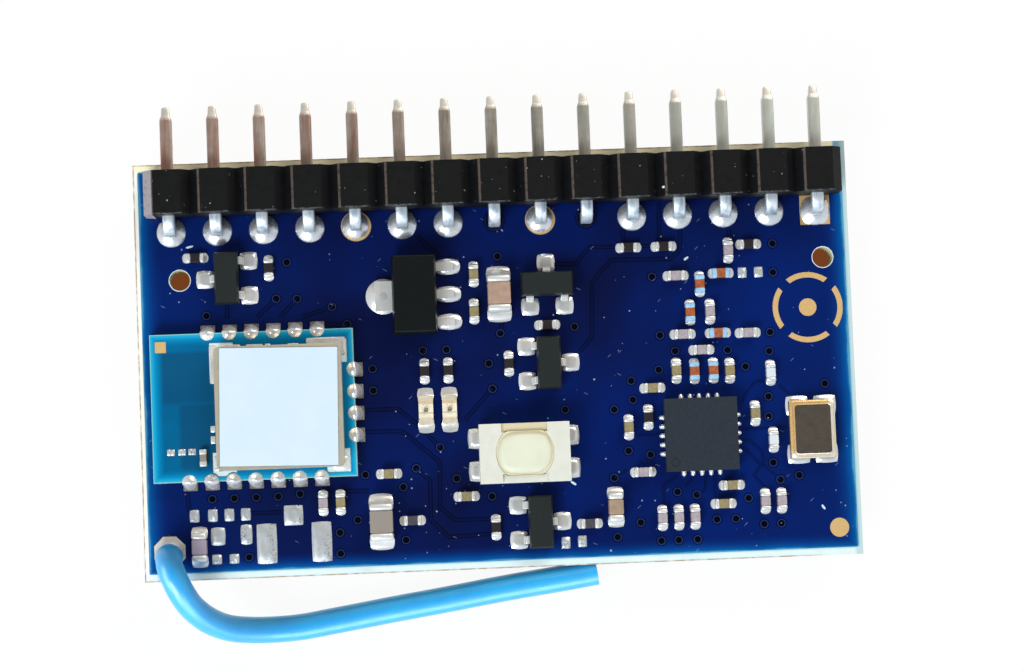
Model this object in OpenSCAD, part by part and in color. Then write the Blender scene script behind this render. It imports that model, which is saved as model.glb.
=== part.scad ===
// Radio transceiver board. A blue two-sided circuit board carries a shielded radio module, a second
// radio chip with its matching parts, a regulator, four transistors, a push switch, two lamps, a
// right-angle pin header and a stiff wire aerial.
// Millimetres, +Z up, parts side up. The origin lies on the table under the middle of the board and
// its pins. The board lies on the tails of its pins and on the aerial.

/* [Board] */
// From the centre of an end pin to the end of the board
board_end = 1.92; // [1.7:0.02:4]
// Depth of the board, front to back
board_d = 22.9; // [22.6:0.1:32]
// Thickness of the board with a solder mask on each face
board_t = 1.6; // [0.8:0.1:2.4]
// Thickness of a solder mask, and of the pads that lie in it
mask_t = 0.04; // [0.02:0.01:0.1]
// Bare laminate left along the edges of the mask
mask_margin = 0.4; // [0.2:0.05:0.45]
// Diameter of the two tooling holes
tooling_d = 1.14; // [0.8:0.02:1.5]
// Diameter of the bare gold dot that a placing machine looks for
dot_d = 1.05; // [0.6:0.05:1.4]
// Diameter of the gold target
target_d = 3.9; // [2.5:0.1:4]
// Width of the target's ring
target_w = 0.3; // [0.2:0.05:0.5]
// Height of the tinned lumps on the pads that carry nothing
spare_h = 0.06; // [0.02:0.01:0.2]

/* [Pin header] */
// Number of pins
pin_count = 15; // [15:1:18]
// Pitch of the pins
pin_pitch = 2.54; // [2.5:0.01:2.8]
// Width of the square pins
pin_w = 0.64; // [0.5:0.02:0.7]
// Length of pin that shows behind the housing
pin_reach = 3.55; // [3:0.05:8]
// Length of pin that stands out under the board
tail_drop = 1.5; // [1.5:0.1:3]
// Inner radius of the bend in a pin
pin_bend = 0.2; // [0.1:0.02:0.3]
// Length of the taper at the end of a pin
tip_l = 0.5; // [0.2:0.05:0.8]
// Width of a pin at its very end
tip_w = 0.3; // [0.1:0.02:0.4]
// Diameter of the plated holes for the pins
hole_d = 1.04; // [1.02:0.02:1.2]
// Shift of the header from the middle of the board
header_shift = 0.1; // [-0.4:0.05:0.4]
// From the housing to the row of holes
row_gap = 0.8; // [0.8:0.02:1]
// Depth of the moulded housing
housing_d = 2.4; // [2:0.05:2.5]
// Height of the housing
housing_h = 2.54; // [2.3:0.02:3]
// From the back edge of the board to the housing
housing_inset = 0.6; // [0:0.05:0.7]
// Depth of the grooves where the housing can be broken off
groove = 0.5; // [0.2:0.05:0.6]
// Diameter of a pin's solder joint
pin_joint_d = 1.56; // [1.3:0.02:1.58]
// Height of a pin's solder joint above the board
pin_joint_h = 0.5; // [0.3:0.05:0.6]

/* [Aerial] */
// Diameter of the insulated wire
wire_d = 1.45; // [1:0.05:1.5]
// Diameter of its bare core
core_d = 0.6; // [0.4:0.05:0.8]
// Width of its eight-sided pad
aerial_pad_w = 1.7; // [1.4:0.05:1.9]
// Length of core that stands out under the board
core_drop = 0.7; // [0.6:0.05:1.2]
// Bare core between the board and the insulation
core_rise = 0.35; // [0.3:0.05:0.6]
// Height of the aerial's solder joint
aerial_joint_h = 0.3; // [0.1:0.05:0.3]

/* [Radio module] */
// Width of the module's own board
mod_w = 11.1; // [10.8:0.1:11.6]
// Depth of the module's own board
mod_d = 8.1; // [7.9:0.1:8.4]
// Thickness of the module's own board
mod_t = 0.8; // [0.5:0.1:1.2]
// Pitch of the half-round joints along its edges
mod_pitch = 1.2; // [1.1:0.05:1.25]
// Diameter of the half-round notches
notch_d = 0.5; // [0.3:0.05:0.6]
// Width of a joint's pad on the main board
mod_pad_w = 0.8; // [0.6:0.05:0.9]
// Length of a joint's pad that shows outside the module
mod_toe = 0.45; // [0.3:0.05:0.5]
// Width of the screening can
can_w = 6.9; // [6.6:0.1:7.2]
// Depth of the screening can
can_d = 6.7; // [6.6:0.1:6.9]
// Height of the screening can
can_h = 1.2; // [1.1:0.05:2]
// Thickness of the can's sheet
can_wall = 0.15; // [0.1:0.01:0.25]
// Width of the solder lands round the can's corners
can_land = 0.3; // [0.15:0.05:0.35]
// Width and depth of the paper label
label_w = 6.4; // [5:0.1:6.5]
// Thickness of the paper label
label_t = 0.08; // [0.05:0.01:0.15]
// Turn of the label on the can
label_turn = -1.4; // [-2:0.1:2]

/* [Small chips] */
// Length of a small chip
small_l = 1; // [0.9:0.02:1.04]
// Width of a small chip
small_w = 0.5; // [0.4:0.02:0.56]
// Height of a small resistor
resistor_h = 0.35; // [0.25:0.05:0.6]
// Height of a small capacitor or bead
capacitor_h = 0.5; // [0.3:0.05:0.7]
// Height of a small inductor
inductor_h = 0.45; // [0.3:0.05:0.7]
// Length of the metal end of a small chip
small_end = 0.25; // [0.15:0.01:0.3]
// Length of solder past the end of a small chip
small_toe = 0.22; // [0.1:0.01:0.24]

/* [Larger chips] */
// Length of a middle-sized capacitor
middle_l = 1.6; // [1.4:0.05:1.8]
// Width of a middle-sized capacitor
middle_w = 0.8; // [0.6:0.05:0.9]
// Height of a middle-sized capacitor
middle_h = 0.8; // [0.4:0.05:1]
// Length of solder past the end of a middle-sized capacitor
middle_toe = 0.32; // [0.2:0.02:0.4]
// Length of a large capacitor
large_l = 2; // [1.8:0.05:2.2]
// Width of a large capacitor
large_w = 1.25; // [1:0.05:1.4]
// Height of a large capacitor
large_h = 1.15; // [0.6:0.05:1.4]
// Length of solder past the end of a large capacitor
large_toe = 0.55; // [0.3:0.05:0.6]
// Length of the metal ends of the larger chips
large_end = 0.4; // [0.25:0.05:0.5]
// Length of a lamp
lamp_l = 1.6; // [1.4:0.05:1.8]
// Width of a lamp
lamp_w = 0.8; // [0.6:0.05:0.9]
// Thickness of a lamp's base
lamp_base_h = 0.25; // [0.15:0.05:0.4]
// Height of a lamp's clear body above its base
lamp_lens_h = 0.35; // [0.2:0.05:0.6]
// Length of the metal end of a lamp
lamp_end = 0.3; // [0.2:0.05:0.4]
// Length of solder past the end of a lamp
lamp_toe = 0.45; // [0.2:0.05:0.5]

/* [Transistors] */
// Width of a transistor's body, from lead side to lead side
sot_w = 1.35; // [1.2:0.05:1.5]
// Length of a transistor's body
sot_l = 2.9; // [2.7:0.05:3.1]
// Height of a transistor's body
sot_h = 0.95; // [0.8:0.05:1.2]
// Gap under a transistor's body
sot_stand = 0.08; // [0.03:0.01:0.15]
// How far the moulded sides lean in
sot_draft = 0.1; // [0.05:0.01:0.14]
// Length over the feet of the leads
sot_span = 2.4; // [2.3:0.05:2.6]
// Width of a lead
lead_w = 0.42; // [0.3:0.02:0.5]
// Thickness of a lead
lead_t = 0.13; // [0.08:0.01:0.18]
// Distance between the two leads on one side
lead_pitch = 1.9; // [1.8:0.05:2]
// Length of a lead's pad
sot_pad_l = 1; // [0.9:0.05:1.1]
// Width of a lead's pad
sot_pad_w = 1; // [0.8:0.05:1.05]

/* [Regulator] */
// Width of the regulator's body, from tab to leads
reg_w = 2.45; // [2.3:0.05:2.6]
// Length of the regulator's body
reg_l = 4.4; // [4.2:0.05:4.6]
// Height of the regulator's body
reg_h = 1.5; // [1.3:0.05:1.7]
// Thickness of its tab and leads
reg_lead_t = 0.38; // [0.3:0.02:0.45]
// Width of its leads
reg_lead_w = 0.48; // [0.4:0.02:0.55]
// Pitch of its leads
reg_pitch = 1.52; // [1.45:0.01:1.55]
// Length of lead outside the body
reg_reach = 0.95; // [0.7:0.05:1.1]
// Width of the tab
reg_tab_w = 1.65; // [1.4:0.05:1.75]
// Width of the tab's half-round pad
reg_tab_pad = 1.96; // [1.8:0.02:2.2]
// Length of solder past the ends of the leads
reg_toe = 0.4; // [0.2:0.05:0.5]

/* [Radio chip] */
// Width of the square radio chip
radio_w = 4; // [3.8:0.05:4.2]
// Height of the radio chip
radio_h = 0.85; // [0.7:0.05:1]
// Number of terminals on each side
radio_side = 5; // [3:1:6]
// Pitch of the terminals
radio_pitch = 0.5; // [0.45:0.01:0.6]
// Width of a terminal
radio_term_w = 0.26; // [0.2:0.01:0.3]
// Length of a terminal under the body
radio_term_l = 0.4; // [0.3:0.05:0.5]
// Height of a terminal's end on the body's side
radio_term_h = 0.2; // [0.1:0.02:0.3]
// Length of solder past the body
radio_toe = 0.26; // [0.15:0.02:0.28]
// Width of the heat slug under the chip
radio_slug = 2.4; // [2:0.1:2.6]

/* [Crystal] */
// Width of the crystal's ceramic case
crystal_w = 2.5; // [2.3:0.05:2.6]
// Length of the crystal's ceramic case
crystal_l = 3.2; // [3:0.05:3.4]
// Height of the ceramic case
crystal_h = 0.55; // [0.45:0.05:0.8]
// Thickness of the case's walls
crystal_wall = 0.4; // [0.35:0.05:0.5]
// Thickness of the case's floor
crystal_floor = 0.2; // [0.1:0.05:0.3]
// Height of the gold seal ring
seal_h = 0.1; // [0.05:0.01:0.2]
// Inset of the seal ring from the case's edge
seal_inset = 0.07; // [0.02:0.01:0.1]
// Inset of the lid from the case's edge
lid_inset = 0.24; // [0.15:0.01:0.3]
// Thickness of the lid
lid_t = 0.08; // [0.05:0.01:0.15]
// Length of solder past the corners, sideways
crystal_toe_w = 0.15; // [0.1:0.01:0.2]
// Length of solder past the corners, lengthways
crystal_toe_l = 0.27; // [0.15:0.01:0.3]

/* [Push switch] */
// Width of the switch's body
sw_w = 4.95; // [4.8:0.05:5.1]
// Depth of the switch's body
sw_d = 3.25; // [3.2:0.05:3.5]
// Height of the lower half of the body
sw_base_h = 0.85; // [0.8:0.05:1.2]
// Height of the upper half of the body
sw_frame_h = 0.75; // [0.7:0.05:1.2]
// Width of the button, over its round ends
button_w = 3; // [2.8:0.05:3.1]
// Depth of the button, over its flat sides
button_d = 2.26; // [2:0.02:2.3]
// Height of the button above the body
button_rise = 0.25; // [0.25:0.05:0.6]
// Travel of the button
button_travel = 0.25; // [0.15:0.05:0.3]
// Running gap round the button
button_gap = 0.08; // [0.04:0.01:0.1]
// Width of the rim that keeps the button in, each way
button_rim = 0.18; // [0.1:0.02:0.2]
// Thickness of that rim
rim_t = 0.26; // [0.2:0.02:0.3]
// Thickness of the snap dome
dome_t = 0.06; // [0.04:0.01:0.1]
// Radius of the snap dome's foot
dome_r = 1.1; // [0.9:0.05:1.15]
// Depth of the steps in the middle of the long sides
step_h = 0.15; // [0.05:0.05:0.3]
// Width of those steps
step_w = 2.5; // [2:0.1:2.8]
// Width of a terminal
term_w = 1.05; // [0.8:0.05:1.15]
// Thickness of a terminal
term_t = 0.15; // [0.1:0.01:0.2]
// Length of terminal outside the body
term_reach = 0.5; // [0.3:0.05:0.6]
// Distance between the two terminals of a side
term_pitch = 1.8; // [1.7:0.05:2]

/* [Hidden] */

// Smoothness of round shapes
$fn = 48;
// Sides of the notches and the bare core, and of the wire, which meet their neighbours on flat faces
notch_sides = 12;
wire_sides = 8;
// Steps in the hollow curve of a solder fillet
fillet_steps = 4;
// Share of a chip's height that its solder climbs
climb = 0.6;
// Gap under a chip's body, between its ends
chip_stand = 0.03;
// How far a chip's metal end stands proud of its body
plating = 0.02;
// Pad that shows beside a chip's metal end, and beside a regulator's lead
pad_side = 0.05;
reg_pad_side = 0.2;
// How far a cutter runs past what it cuts
cut = 1;
// Slack between a solder plug and the hole that it fills
plug_gap = 0.02;
// Width of a solder joint's neck, times that of the pin or core in it
solder_neck = 1.5;
// Share of the aerial's pad that its solder covers
aerial_joint_share = 0.82;
// How much wider the aerial's hole is than its core
aerial_slack = 0.3;

board_w = (pin_count - 1) * pin_pitch + 2 * board_end;
core_t = board_t - 2 * mask_t;
top_z = tail_drop + board_t;
pin_overhang = pin_reach - housing_inset;
board_y = -pin_overhang / 2;
row_y = board_d / 2 - housing_inset - housing_d - row_gap;
pin_z = housing_h / 2;
wire_lie = wire_d / 2;

// The board that the places below are drawn for. A longer or deeper board spreads them out.
layout_w = 39.4;
layout_d = 22.9;

// Places on the board, from its middle: across, front to back, and turn where it matters
tooling_spots = [[-17.3, 5, 0], [18.2, 5, 0]];
dot_spot = [18.45, -9.95, 0];
target_spot = [17.25, 2.25, 0];
aerial_spot = [-18.3, -9.85, 0];
module_spot = [-13.45, -2.05, 0];
regulator_spot = [-4.45, 3.7, 0];
transistor_spots = [[-14.7, 5, 180], [2.85, 4.05, 90], [2.8, -0.3, 0], [2, -9, 0]];
radio_spot = [11, -4.55, 0];
crystal_spot = [17.15, -4.5, 0];
switch_spot = [1.25, -5.2, 0];
lamp_spots = [[-4.05, -2.65, 90], [-2.75, -2.65, 90]];
resistor_spots = [
    [-16.4, 6.2, 0], [2.8, 1.8, 0], [7.45, 5.9, 0], [9.4, 5.9, 0], [14.1, 5.85, 0],
    [-12.4, 5.5, 90], [0.6, -0.25, 90], [-4.05, -0.5, 90], [-2.75, -0.5, 90],
    [-0.45, -9.2, 90], [8.15, -3.5, 90]
];
tan_spots = [
    [-1.15, 4.75, 90], [-1.2, 2.7, 90], [-8.9, -7.5, 90], [7.05, -4, 90], [9.8, -1, 90],
    [12.75, -1.1, 90], [14.05, -3.5, 90],
    [-6.2, -6.05, 0], [-2, -7.45, 0], [8.45, -1.9, 0], [12.6, -7.4, 0], [12.1, -8.4, 0]
];
grey_spots = [
    [-9.85, -7.5, 90], [12.95, 5.55, 90], [11.8, 2.2, 90], [15, -1.3, 90], [15, -5, 90],
    [14.4, -8.35, 90], [15.3, -8.35, 90], [8.7, -9.05, 90], [9.6, -9.05, 90], [10.5, -9.05, 90],
    [10, 4.25, 0], [10.25, 1, 0], [13.85, 0.95, 0], [11.25, 0.1, 0], [7.75, -6.5, 0]
];
bead_spots = [[-5, -8.65, 0], [4.7, -9.2, 0]];
inductor_spots = [
    [11.3, 3.75, 90], [10.7, 2.2, 90], [10.8, -1.05, 90], [11.85, -1.05, 90],
    [12.5, 4.3, 0], [12.2, 1, 0]
];
middle_spots = [[-16.65, -9.65, 90], [6.15, -8.35, 90]];
large_spots = [[0.2, 3.6, 90], [-6.7, -8.65, 90]];

// Pads that carry nothing: place, and size across and front to back
spare_pads_list = [
    [[-16.9, -7.95], [0.55, 0.7]], [[-15.9, -7.95], [0.55, 0.7]], [[-15, -7.95], [0.55, 0.7]],
    [[-14.1, -7.95], [0.55, 0.7]], [[-15.65, -9.1], [0.8, 1]], [[-14.1, -9.05], [0.65, 1.1]],
    [[-15.75, -10.35], [0.55, 0.55]], [[-14.8, -10.35], [0.55, 0.55]],
    [[-13, -9.6], [1.1, 2.2]], [[-10, -9.6], [1.1, 2.2]], [[-11.5, -8.1], [1.05, 1.1]],
    [[3.35, -10.2], [0.5, 0.65]], [[4.25, -10.15], [0.5, 0.65]],
    [[13.7, 4.3], [0.5, 0.6]], [[14.6, 4.3], [0.5, 0.6]]
];

// Share of the crystal's half width and half length that a corner pad takes
crystal_pad_share = [0.62, 0.58];

// Pins with no joint on the parts side, counted from the left, and the one with a square pad
bare_pins = [7, 9];
square_pin = pin_count - 1;

// On the radio module, from its middle
can_spot = [1.45, -0.15];
module_mark_spot = [-4.95, 3.35];
module_mark_w = 0.6;
module_pad_spots = [[-4.55, -2.4], [-3.95, -2.4], [-3.4, -2.4]];
module_pad_w = 0.38;
notches_top = [-2 : 3];
notches_bottom = [-3 : 3];
notches_right = [-1.5 : 1.5];
notch_land_r = 0.42;
land_gap = 0.05;
land_leg = 1.3;
land_h = 0.08;
inner_chip = [3.6, 3.6, 0.75];
inner_chip_spot = [0.9, -0.9];
inner_crystal = [2, 1.6, 0.5];
inner_crystal_spot = [-1.8, 2.1];
module_chip = [0.35, 0.9, 0.3];
module_chip_spots = [[-2.8, -2.75]];
inner_chip_spots = [
    [-2.6, -0.6], [-1.9, -0.6], [-2.6, -2.2], [-1.9, -2.2], [0.6, 2.2], [1.4, 2.2], [2.2, 2.2]
];

// The aerial's route: across and forward from its hole, and height above the board or the table
route_rise = [
    [0, 0, core_rise], [0, 0, 1], [0.05, -0.25, 1.6], [0.15, -0.65, 2.05], [0.35, -1.3, 2.25],
    [0.7, -2.15, 2], [1.2, -3, 1.35], [2, -3.75, 0.45]
];
route_fall = [
    [3, -4.25, 1.9], [4.2, -4.45, 1.15], [5.5, -4.5, 0.6], [7, -4.45, 0.25], [8.6, -4.25, 0.1],
    [10.4, -4, 0], [12.1, -3.75, 0], [14, -3.5, 0], [15.7, -3.25, 0], [17.5, -2.95, 0],
    [19.3, -2.65, 0], [21.4, -2.35, 0], [23.5, -2.05, 0]
];

// Each kind of chip: length, width, height, metal end, solder past the end
resistor = [small_l, small_w, resistor_h, small_end, small_toe];
capacitor = [small_l, small_w, capacitor_h, small_end, small_toe];
inductor = [small_l, small_w, inductor_h, small_end, small_toe];
middle = [middle_l, middle_w, middle_h, large_end, middle_toe];
large = [large_l, large_w, large_h, large_end, large_toe];
lamp = [lamp_l, lamp_w, lamp_base_h, lamp_end, lamp_toe];

// Heights inside the switch, from the board up
button_top = sw_base_h + sw_frame_h + button_rise;
rim_top = sw_base_h + sw_frame_h / 3;
rim_gap = 0.02;
rim_spare = 0.05;
nub_h = 0.08;
rim_low = rim_top - rim_gap - rim_t;
rim_pocket_floor = rim_low - button_travel - rim_spare;
dome_floor = 0.3;
nub_low = rim_low - nub_h;
nub_r = 0.5;
dome_rise = nub_low - rim_gap - dome_floor;
rim_w = button_w + 2 * button_rim;
rim_d = button_d + 2 * button_rim;

function spot(p) = [p[0] * board_w / layout_w, p[1] * board_d / layout_d, 0];
function pin_x(i) = header_shift + (i - (pin_count - 1) / 2) * pin_pitch;
function has(list, value) = len([for (v = list) if (v == value) v]) > 0;

// A solder fillet's outline, hollow, from the toe on the pad up to the part
function fillet_points(run, rise) = concat([[0, 0]], [
    for (i = [0 : fillet_steps])
        let (a = 90 * i / fillet_steps)
            [run * (1 - sin(a)), rise * (1 - cos(a))]
]);

// A moulded body's outline, widest halfway up
function moulded_points(w, low, high, draft) = [
    [-w / 2 + draft, low], [w / 2 - draft, low], [w / 2, (low + high) / 2],
    [w / 2 - draft, high], [-w / 2 + draft, high], [-w / 2, (low + high) / 2]
];

module on_board(z = top_z) {
    translate([0, board_y, z])
        children();
}

module at_spot(p) {
    translate(spot(p))
        rotate(p[2])
            children();
}

module at_spots(list) {
    for (p = list)
        at_spot(p)
            children();
}

module both_ends() {
    children();
    rotate(180)
        children();
}

module at_pins() {
    for (i = [0 : pin_count - 1])
        translate([pin_x(i), row_y, 0])
            children();
}

module block(size, z = 0) {
    translate([-size[0] / 2, -size[1] / 2, z])
        cube(size);
}

module rounded(w, d, r) {
    square([w - 2 * r, d], center = true);
    square([w, d - 2 * r], center = true);
    for (x = [-1, 1], y = [-1, 1])
        translate([x * (w / 2 - r), y * (d / 2 - r)])
            circle(r);
}

// A fillet that starts at the origin and runs out along +X
module fillet(run, rise, width) {
    rotate([90, 0, 0])
        linear_extrude(width, center = true)
            polygon(fillet_points(run, rise));
}

// Pads fill the openings in the mask, flush with it
module pad_plate() {
    translate([0, 0, -mask_t])
        linear_extrude(mask_t)
            children();
}

module moulded(w, l, low, high, draft) {
    intersection() {
        rotate([90, 0, 0])
            linear_extrude(l, center = true)
                polygon(moulded_points(w, low, high, draft));
        rotate([90, 0, 90])
            linear_extrude(w, center = true)
                polygon(moulded_points(l, low, high, draft));
    }
}

// Flat outlines of the pads, used for the pads and for the openings in the mask

module chip_pads_flat(c) {
    inner = c[0] / 2 - c[3];
    outer = c[0] / 2 + c[4];
    both_ends()
        translate([inner, -c[1] / 2 - pad_side])
            square([outer - inner, c[1] + 2 * pad_side]);
}

module sot_pads_flat() {
    pad_x = sot_span / 2;
    translate([pad_x, 0])
        square([sot_pad_l, sot_pad_w], center = true);
    for (y = [-1, 1])
        translate([-pad_x, y * lead_pitch / 2])
            square([sot_pad_l, sot_pad_w], center = true);
}

module regulator_pads_flat() {
    lead_end = reg_w / 2 + reg_reach + reg_toe;
    pad_w = reg_lead_w + 2 * reg_pad_side;
    for (i = [-1 : 1])
        translate([reg_w / 2 - pad_side, i * reg_pitch - pad_w / 2])
            square([lead_end - reg_w / 2 + pad_side, pad_w]);
    translate([-reg_w / 2 - reg_reach / 2, 0])
        circle(d = reg_tab_pad);
}

// Each terminal of the radio chip, with the body's edge at the origin and +X outwards
module at_terminals() {
    for (side = [0 : 3], i = [0 : radio_side - 1])
        rotate(side * 90)
            translate([radio_w / 2, (i - (radio_side - 1) / 2) * radio_pitch, 0])
                children();
}

module radio_pads_flat() {
    at_terminals()
        translate([-radio_term_l, -radio_term_w / 2])
            square([radio_term_l + radio_toe, radio_term_w]);
    square(radio_slug, center = true);
}

module crystal_pads_flat() {
    outer = [crystal_w / 2 + crystal_toe_w, crystal_l / 2 + crystal_toe_l];
    size = [outer[0] * crystal_pad_share[0], outer[1] * crystal_pad_share[1]];
    for (x = [0, 1], y = [0, 1])
        mirror([x, 0])
            mirror([0, y])
                translate(outer - size)
                    square(size);
}

module switch_pads_flat() {
    for (x = [0, 1], y = [-1, 1])
        mirror([x, 0])
            translate([sw_w / 2 - term_reach, y * term_pitch / 2 - term_w / 2 - pad_side])
                square([2 * term_reach + 2 * pad_side, term_w + 2 * pad_side]);
}

// Each joint along the module's edges, drawn with the edge at the origin and +X outwards
module at_notches() {
    for (i = notches_top)
        translate([i * mod_pitch, mod_d / 2])
            rotate(90)
                children();
    for (i = notches_bottom)
        translate([i * mod_pitch, -mod_d / 2])
            rotate(-90)
                children();
    for (i = notches_right)
        translate([mod_w / 2, i * mod_pitch])
            children();
}

module notch_pads_flat() {
    at_notches()
        translate([-notch_d / 2, -mod_pad_w / 2])
            square([notch_d / 2 + mod_toe, mod_pad_w]);
}

module spare_pads_flat() {
    for (p = spare_pads_list)
        translate(spot(p[0]))
            square(p[1], center = true);
}

module octagon(w) {
    rotate(22.5)
        circle(d = w / cos(22.5), $fn = 8);
}

module dot_flat() {
    at_spot(dot_spot)
        circle(d = dot_d);
}

// A plain target: four arcs of a ring round a dot
module target_flat() {
    at_spot(target_spot) {
        difference() {
            circle(d = target_d);
            circle(d = target_d - 2 * target_w);
            for (a = [45, 135])
                rotate(a)
                    square([target_d + cut, 2 * target_w], center = true);
        }
        circle(d = target_d / 4);
    }
}

module tooling_flat() {
    at_spots(tooling_spots)
        circle(d = tooling_d);
}

module pin_pads_flat(top) {
    for (i = [0 : pin_count - 1])
        translate([pin_x(i), row_y])
            if (i == square_pin)
                square(pin_joint_d, center = true);
            else
                circle(d = top && has(bare_pins, i) ? hole_d + 2 * plug_gap : pin_joint_d);
}

module openings_top() {
    pin_pads_flat(true);
    tooling_flat();
    dot_flat();
    target_flat();
    spare_pads_flat();
    at_spot(aerial_spot)
        octagon(aerial_pad_w);
    at_spot(module_spot)
        notch_pads_flat();
    at_spot(regulator_spot)
        regulator_pads_flat();
    at_spots(transistor_spots)
        sot_pads_flat();
    at_spot(radio_spot)
        radio_pads_flat();
    at_spot(crystal_spot)
        crystal_pads_flat();
    at_spot(switch_spot)
        switch_pads_flat();
    at_spots(lamp_spots)
        chip_pads_flat(lamp);
    at_spots(resistor_spots)
        chip_pads_flat(resistor);
    at_spots(concat(tan_spots, grey_spots, bead_spots, inductor_spots))
        chip_pads_flat(capacitor);
    at_spots(middle_spots)
        chip_pads_flat(middle);
    at_spots(large_spots)
        chip_pads_flat(large);
}

module openings_bottom() {
    pin_pads_flat(false);
    tooling_flat();
    at_spot(aerial_spot)
        octagon(aerial_pad_w);
}

module mask_sheet() {
    linear_extrude(mask_t)
        difference() {
            square([board_w - 2 * mask_margin, board_d - 2 * mask_margin], center = true);
            children();
        }
}

// The bare board and what is printed or plated on it

module main_board() {
    color([0.79, 0.76, 0.62])
        on_board(tail_drop + mask_t)
            difference() {
                block([board_w, board_d, core_t]);
                translate([0, 0, -cut])
                    linear_extrude(core_t + 2 * cut)
                        tooling_flat();
                at_pins()
                    translate([0, 0, -cut])
                        cylinder(d = hole_d, h = core_t + 2 * cut);
                at_spot(aerial_spot)
                    translate([0, 0, -cut])
                        cylinder(d = core_d + aerial_slack, h = core_t + 2 * cut);
            }
}

module solder_mask_top() {
    color([0.03, 0.06, 0.36])
        on_board(top_z - mask_t)
            mask_sheet()
                openings_top();
}

module solder_mask_bottom() {
    color([0.03, 0.06, 0.36])
        on_board(tail_drop)
            mask_sheet()
                openings_bottom();
}

module gold_marks() {
    color([0.78, 0.57, 0.28]) {
        on_board()
            pad_plate() {
                dot_flat();
                target_flat();
            }
        on_module(mod_t)
            pad_plate()
                module_mark_flat();
    }
}

module spare_pads() {
    color([0.75, 0.76, 0.76])
        on_board(top_z - mask_t)
            linear_extrude(mask_t + spare_h)
                spare_pads_flat();
}

// The pin header

// The housing's end view: a row of eight-sided blocks joined at thin webs
function housing_top_points() = [
    for (i = [0 : pin_count - 1])
        let (half = pin_pitch / 2, web_z = housing_h - groove)
            each [
                [pin_x(i) - half, web_z], [pin_x(i) - half + groove, housing_h],
                [pin_x(i) + half - groove, housing_h], [pin_x(i) + half, web_z]
            ]
];

function mirrored(points) = [
    for (i = [len(points) - 1 : -1 : 0])
        [points[i][0], housing_h - points[i][1]]
];

module header_housing() {
    back = board_d / 2 - housing_inset;
    color([0.05, 0.05, 0.055])
        on_board()
            difference() {
                translate([0, back, 0])
                    rotate([90, 0, 0])
                        linear_extrude(housing_d)
                            polygon(concat(mirrored(housing_top_points()), housing_top_points()));
                for (i = [0 : pin_count - 1])
                    translate([pin_x(i), back - housing_d / 2, pin_z - pin_w / 2])
                        block([pin_w, housing_d + 2 * cut, pin_w]);
            }
}

function arc_points(y, z, r, from, to) = [
    for (i = [0 : fillet_steps])
        let (a = from + (to - from) * i / fillet_steps)
            [y + r * cos(a), z + r * sin(a)]
];

// A pin's side view: along the board, round the bend and down through the hole
function pin_points() =
    let (
        half = pin_w / 2,
        tip_y = board_d / 2 + pin_overhang,
        low = -board_t - tail_drop,
        bend_y = row_y + half + pin_bend,
        bend_z = pin_z - half - pin_bend
    )
    concat(
        [
            [tip_y - tip_l, pin_z + half], [tip_y, pin_z + tip_w / 2],
            [tip_y, pin_z - tip_w / 2], [tip_y - tip_l, pin_z - half]
        ],
        arc_points(bend_y, bend_z, pin_bend, 90, 180),
        [
            [row_y + half, low + tip_l / 2], [row_y + tip_w / 2, low],
            [row_y - tip_w / 2, low], [row_y - half, low + tip_l / 2]
        ],
        arc_points(bend_y, bend_z, pin_bend + pin_w, 180, 90)
    );

module pin() {
    tip_y = board_d / 2 + pin_overhang;
    low = -board_t - tail_drop;
    intersection() {
        rotate([90, 0, 90])
            linear_extrude(pin_w, center = true)
                polygon(pin_points());
        translate([0, 0, low])
            linear_extrude(pin_z + pin_w - low)
                polygon([
                    [-pin_w / 2, row_y - pin_w], [pin_w / 2, row_y - pin_w], [pin_w / 2, tip_y - tip_l],
                    [tip_w / 2, tip_y], [-tip_w / 2, tip_y], [-pin_w / 2, tip_y - tip_l]
                ]);
    }
}

module header_pins() {
    color([0.72, 0.68, 0.6])
        on_board()
            for (i = [0 : pin_count - 1])
                translate([pin_x(i), 0, 0])
                    pin();
}

// A hollow cone of solder on a pad, standing on z = 0
module solder_cone(d, top_d, h) {
    rotate_extrude()
        polygon(concat(
            [[0, 0]],
            [for (p = fillet_points((d - top_d) / 2, h)) if (p != [0, 0]) [p[0] + top_d / 2, p[1]]],
            [[0, h]]
        ));
}

module header_solder() {
    top_d = pin_w * solder_neck;
    color([0.8, 0.8, 0.79])
        on_board()
            for (i = [0 : pin_count - 1])
                translate([pin_x(i), row_y, 0])
                    difference() {
                        union() {
                            if (!has(bare_pins, i)) {
                                solder_cone(pin_joint_d, top_d, pin_joint_h);
                                pad_plate()
                                    if (i == square_pin)
                                        square(pin_joint_d, center = true);
                                    else
                                        circle(d = pin_joint_d);
                                translate([0, 0, -core_t / 2 - mask_t])
                                    cylinder(d = hole_d - plug_gap, h = core_t / 2 + mask_t);
                            }
                            translate([0, 0, -board_t])
                                cylinder(d = hole_d - plug_gap, h = core_t / 2 + mask_t);
                            translate([0, 0, -board_t])
                                linear_extrude(mask_t)
                                    if (i == square_pin)
                                        square(pin_joint_d, center = true);
                                    else
                                        circle(d = pin_joint_d);
                            translate([0, 0, -board_t])
                                mirror([0, 0, 1])
                                    solder_cone(pin_joint_d, top_d, pin_joint_h);
                        }
                        block([pin_w, pin_w, 2 * tail_drop + 2 * board_t], -board_t - 2 * tail_drop);
                    }
}

// The wire aerial

function route() =
    let (root = spot(aerial_spot) + [0, board_y, 0])
    concat(
        [for (p = route_rise) root + p + [0, 0, top_z]],
        [for (p = route_fall) root + p + [0, 0, wire_lie]]
    );

function unit(v) = v / norm(v);

function route_way(points, i) =
    i == 0 ? unit(points[1] - points[0]) :
    i == len(points) - 1 ? unit(points[i] - points[i - 1]) :
    unit(points[i + 1] - points[i - 1]);

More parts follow.
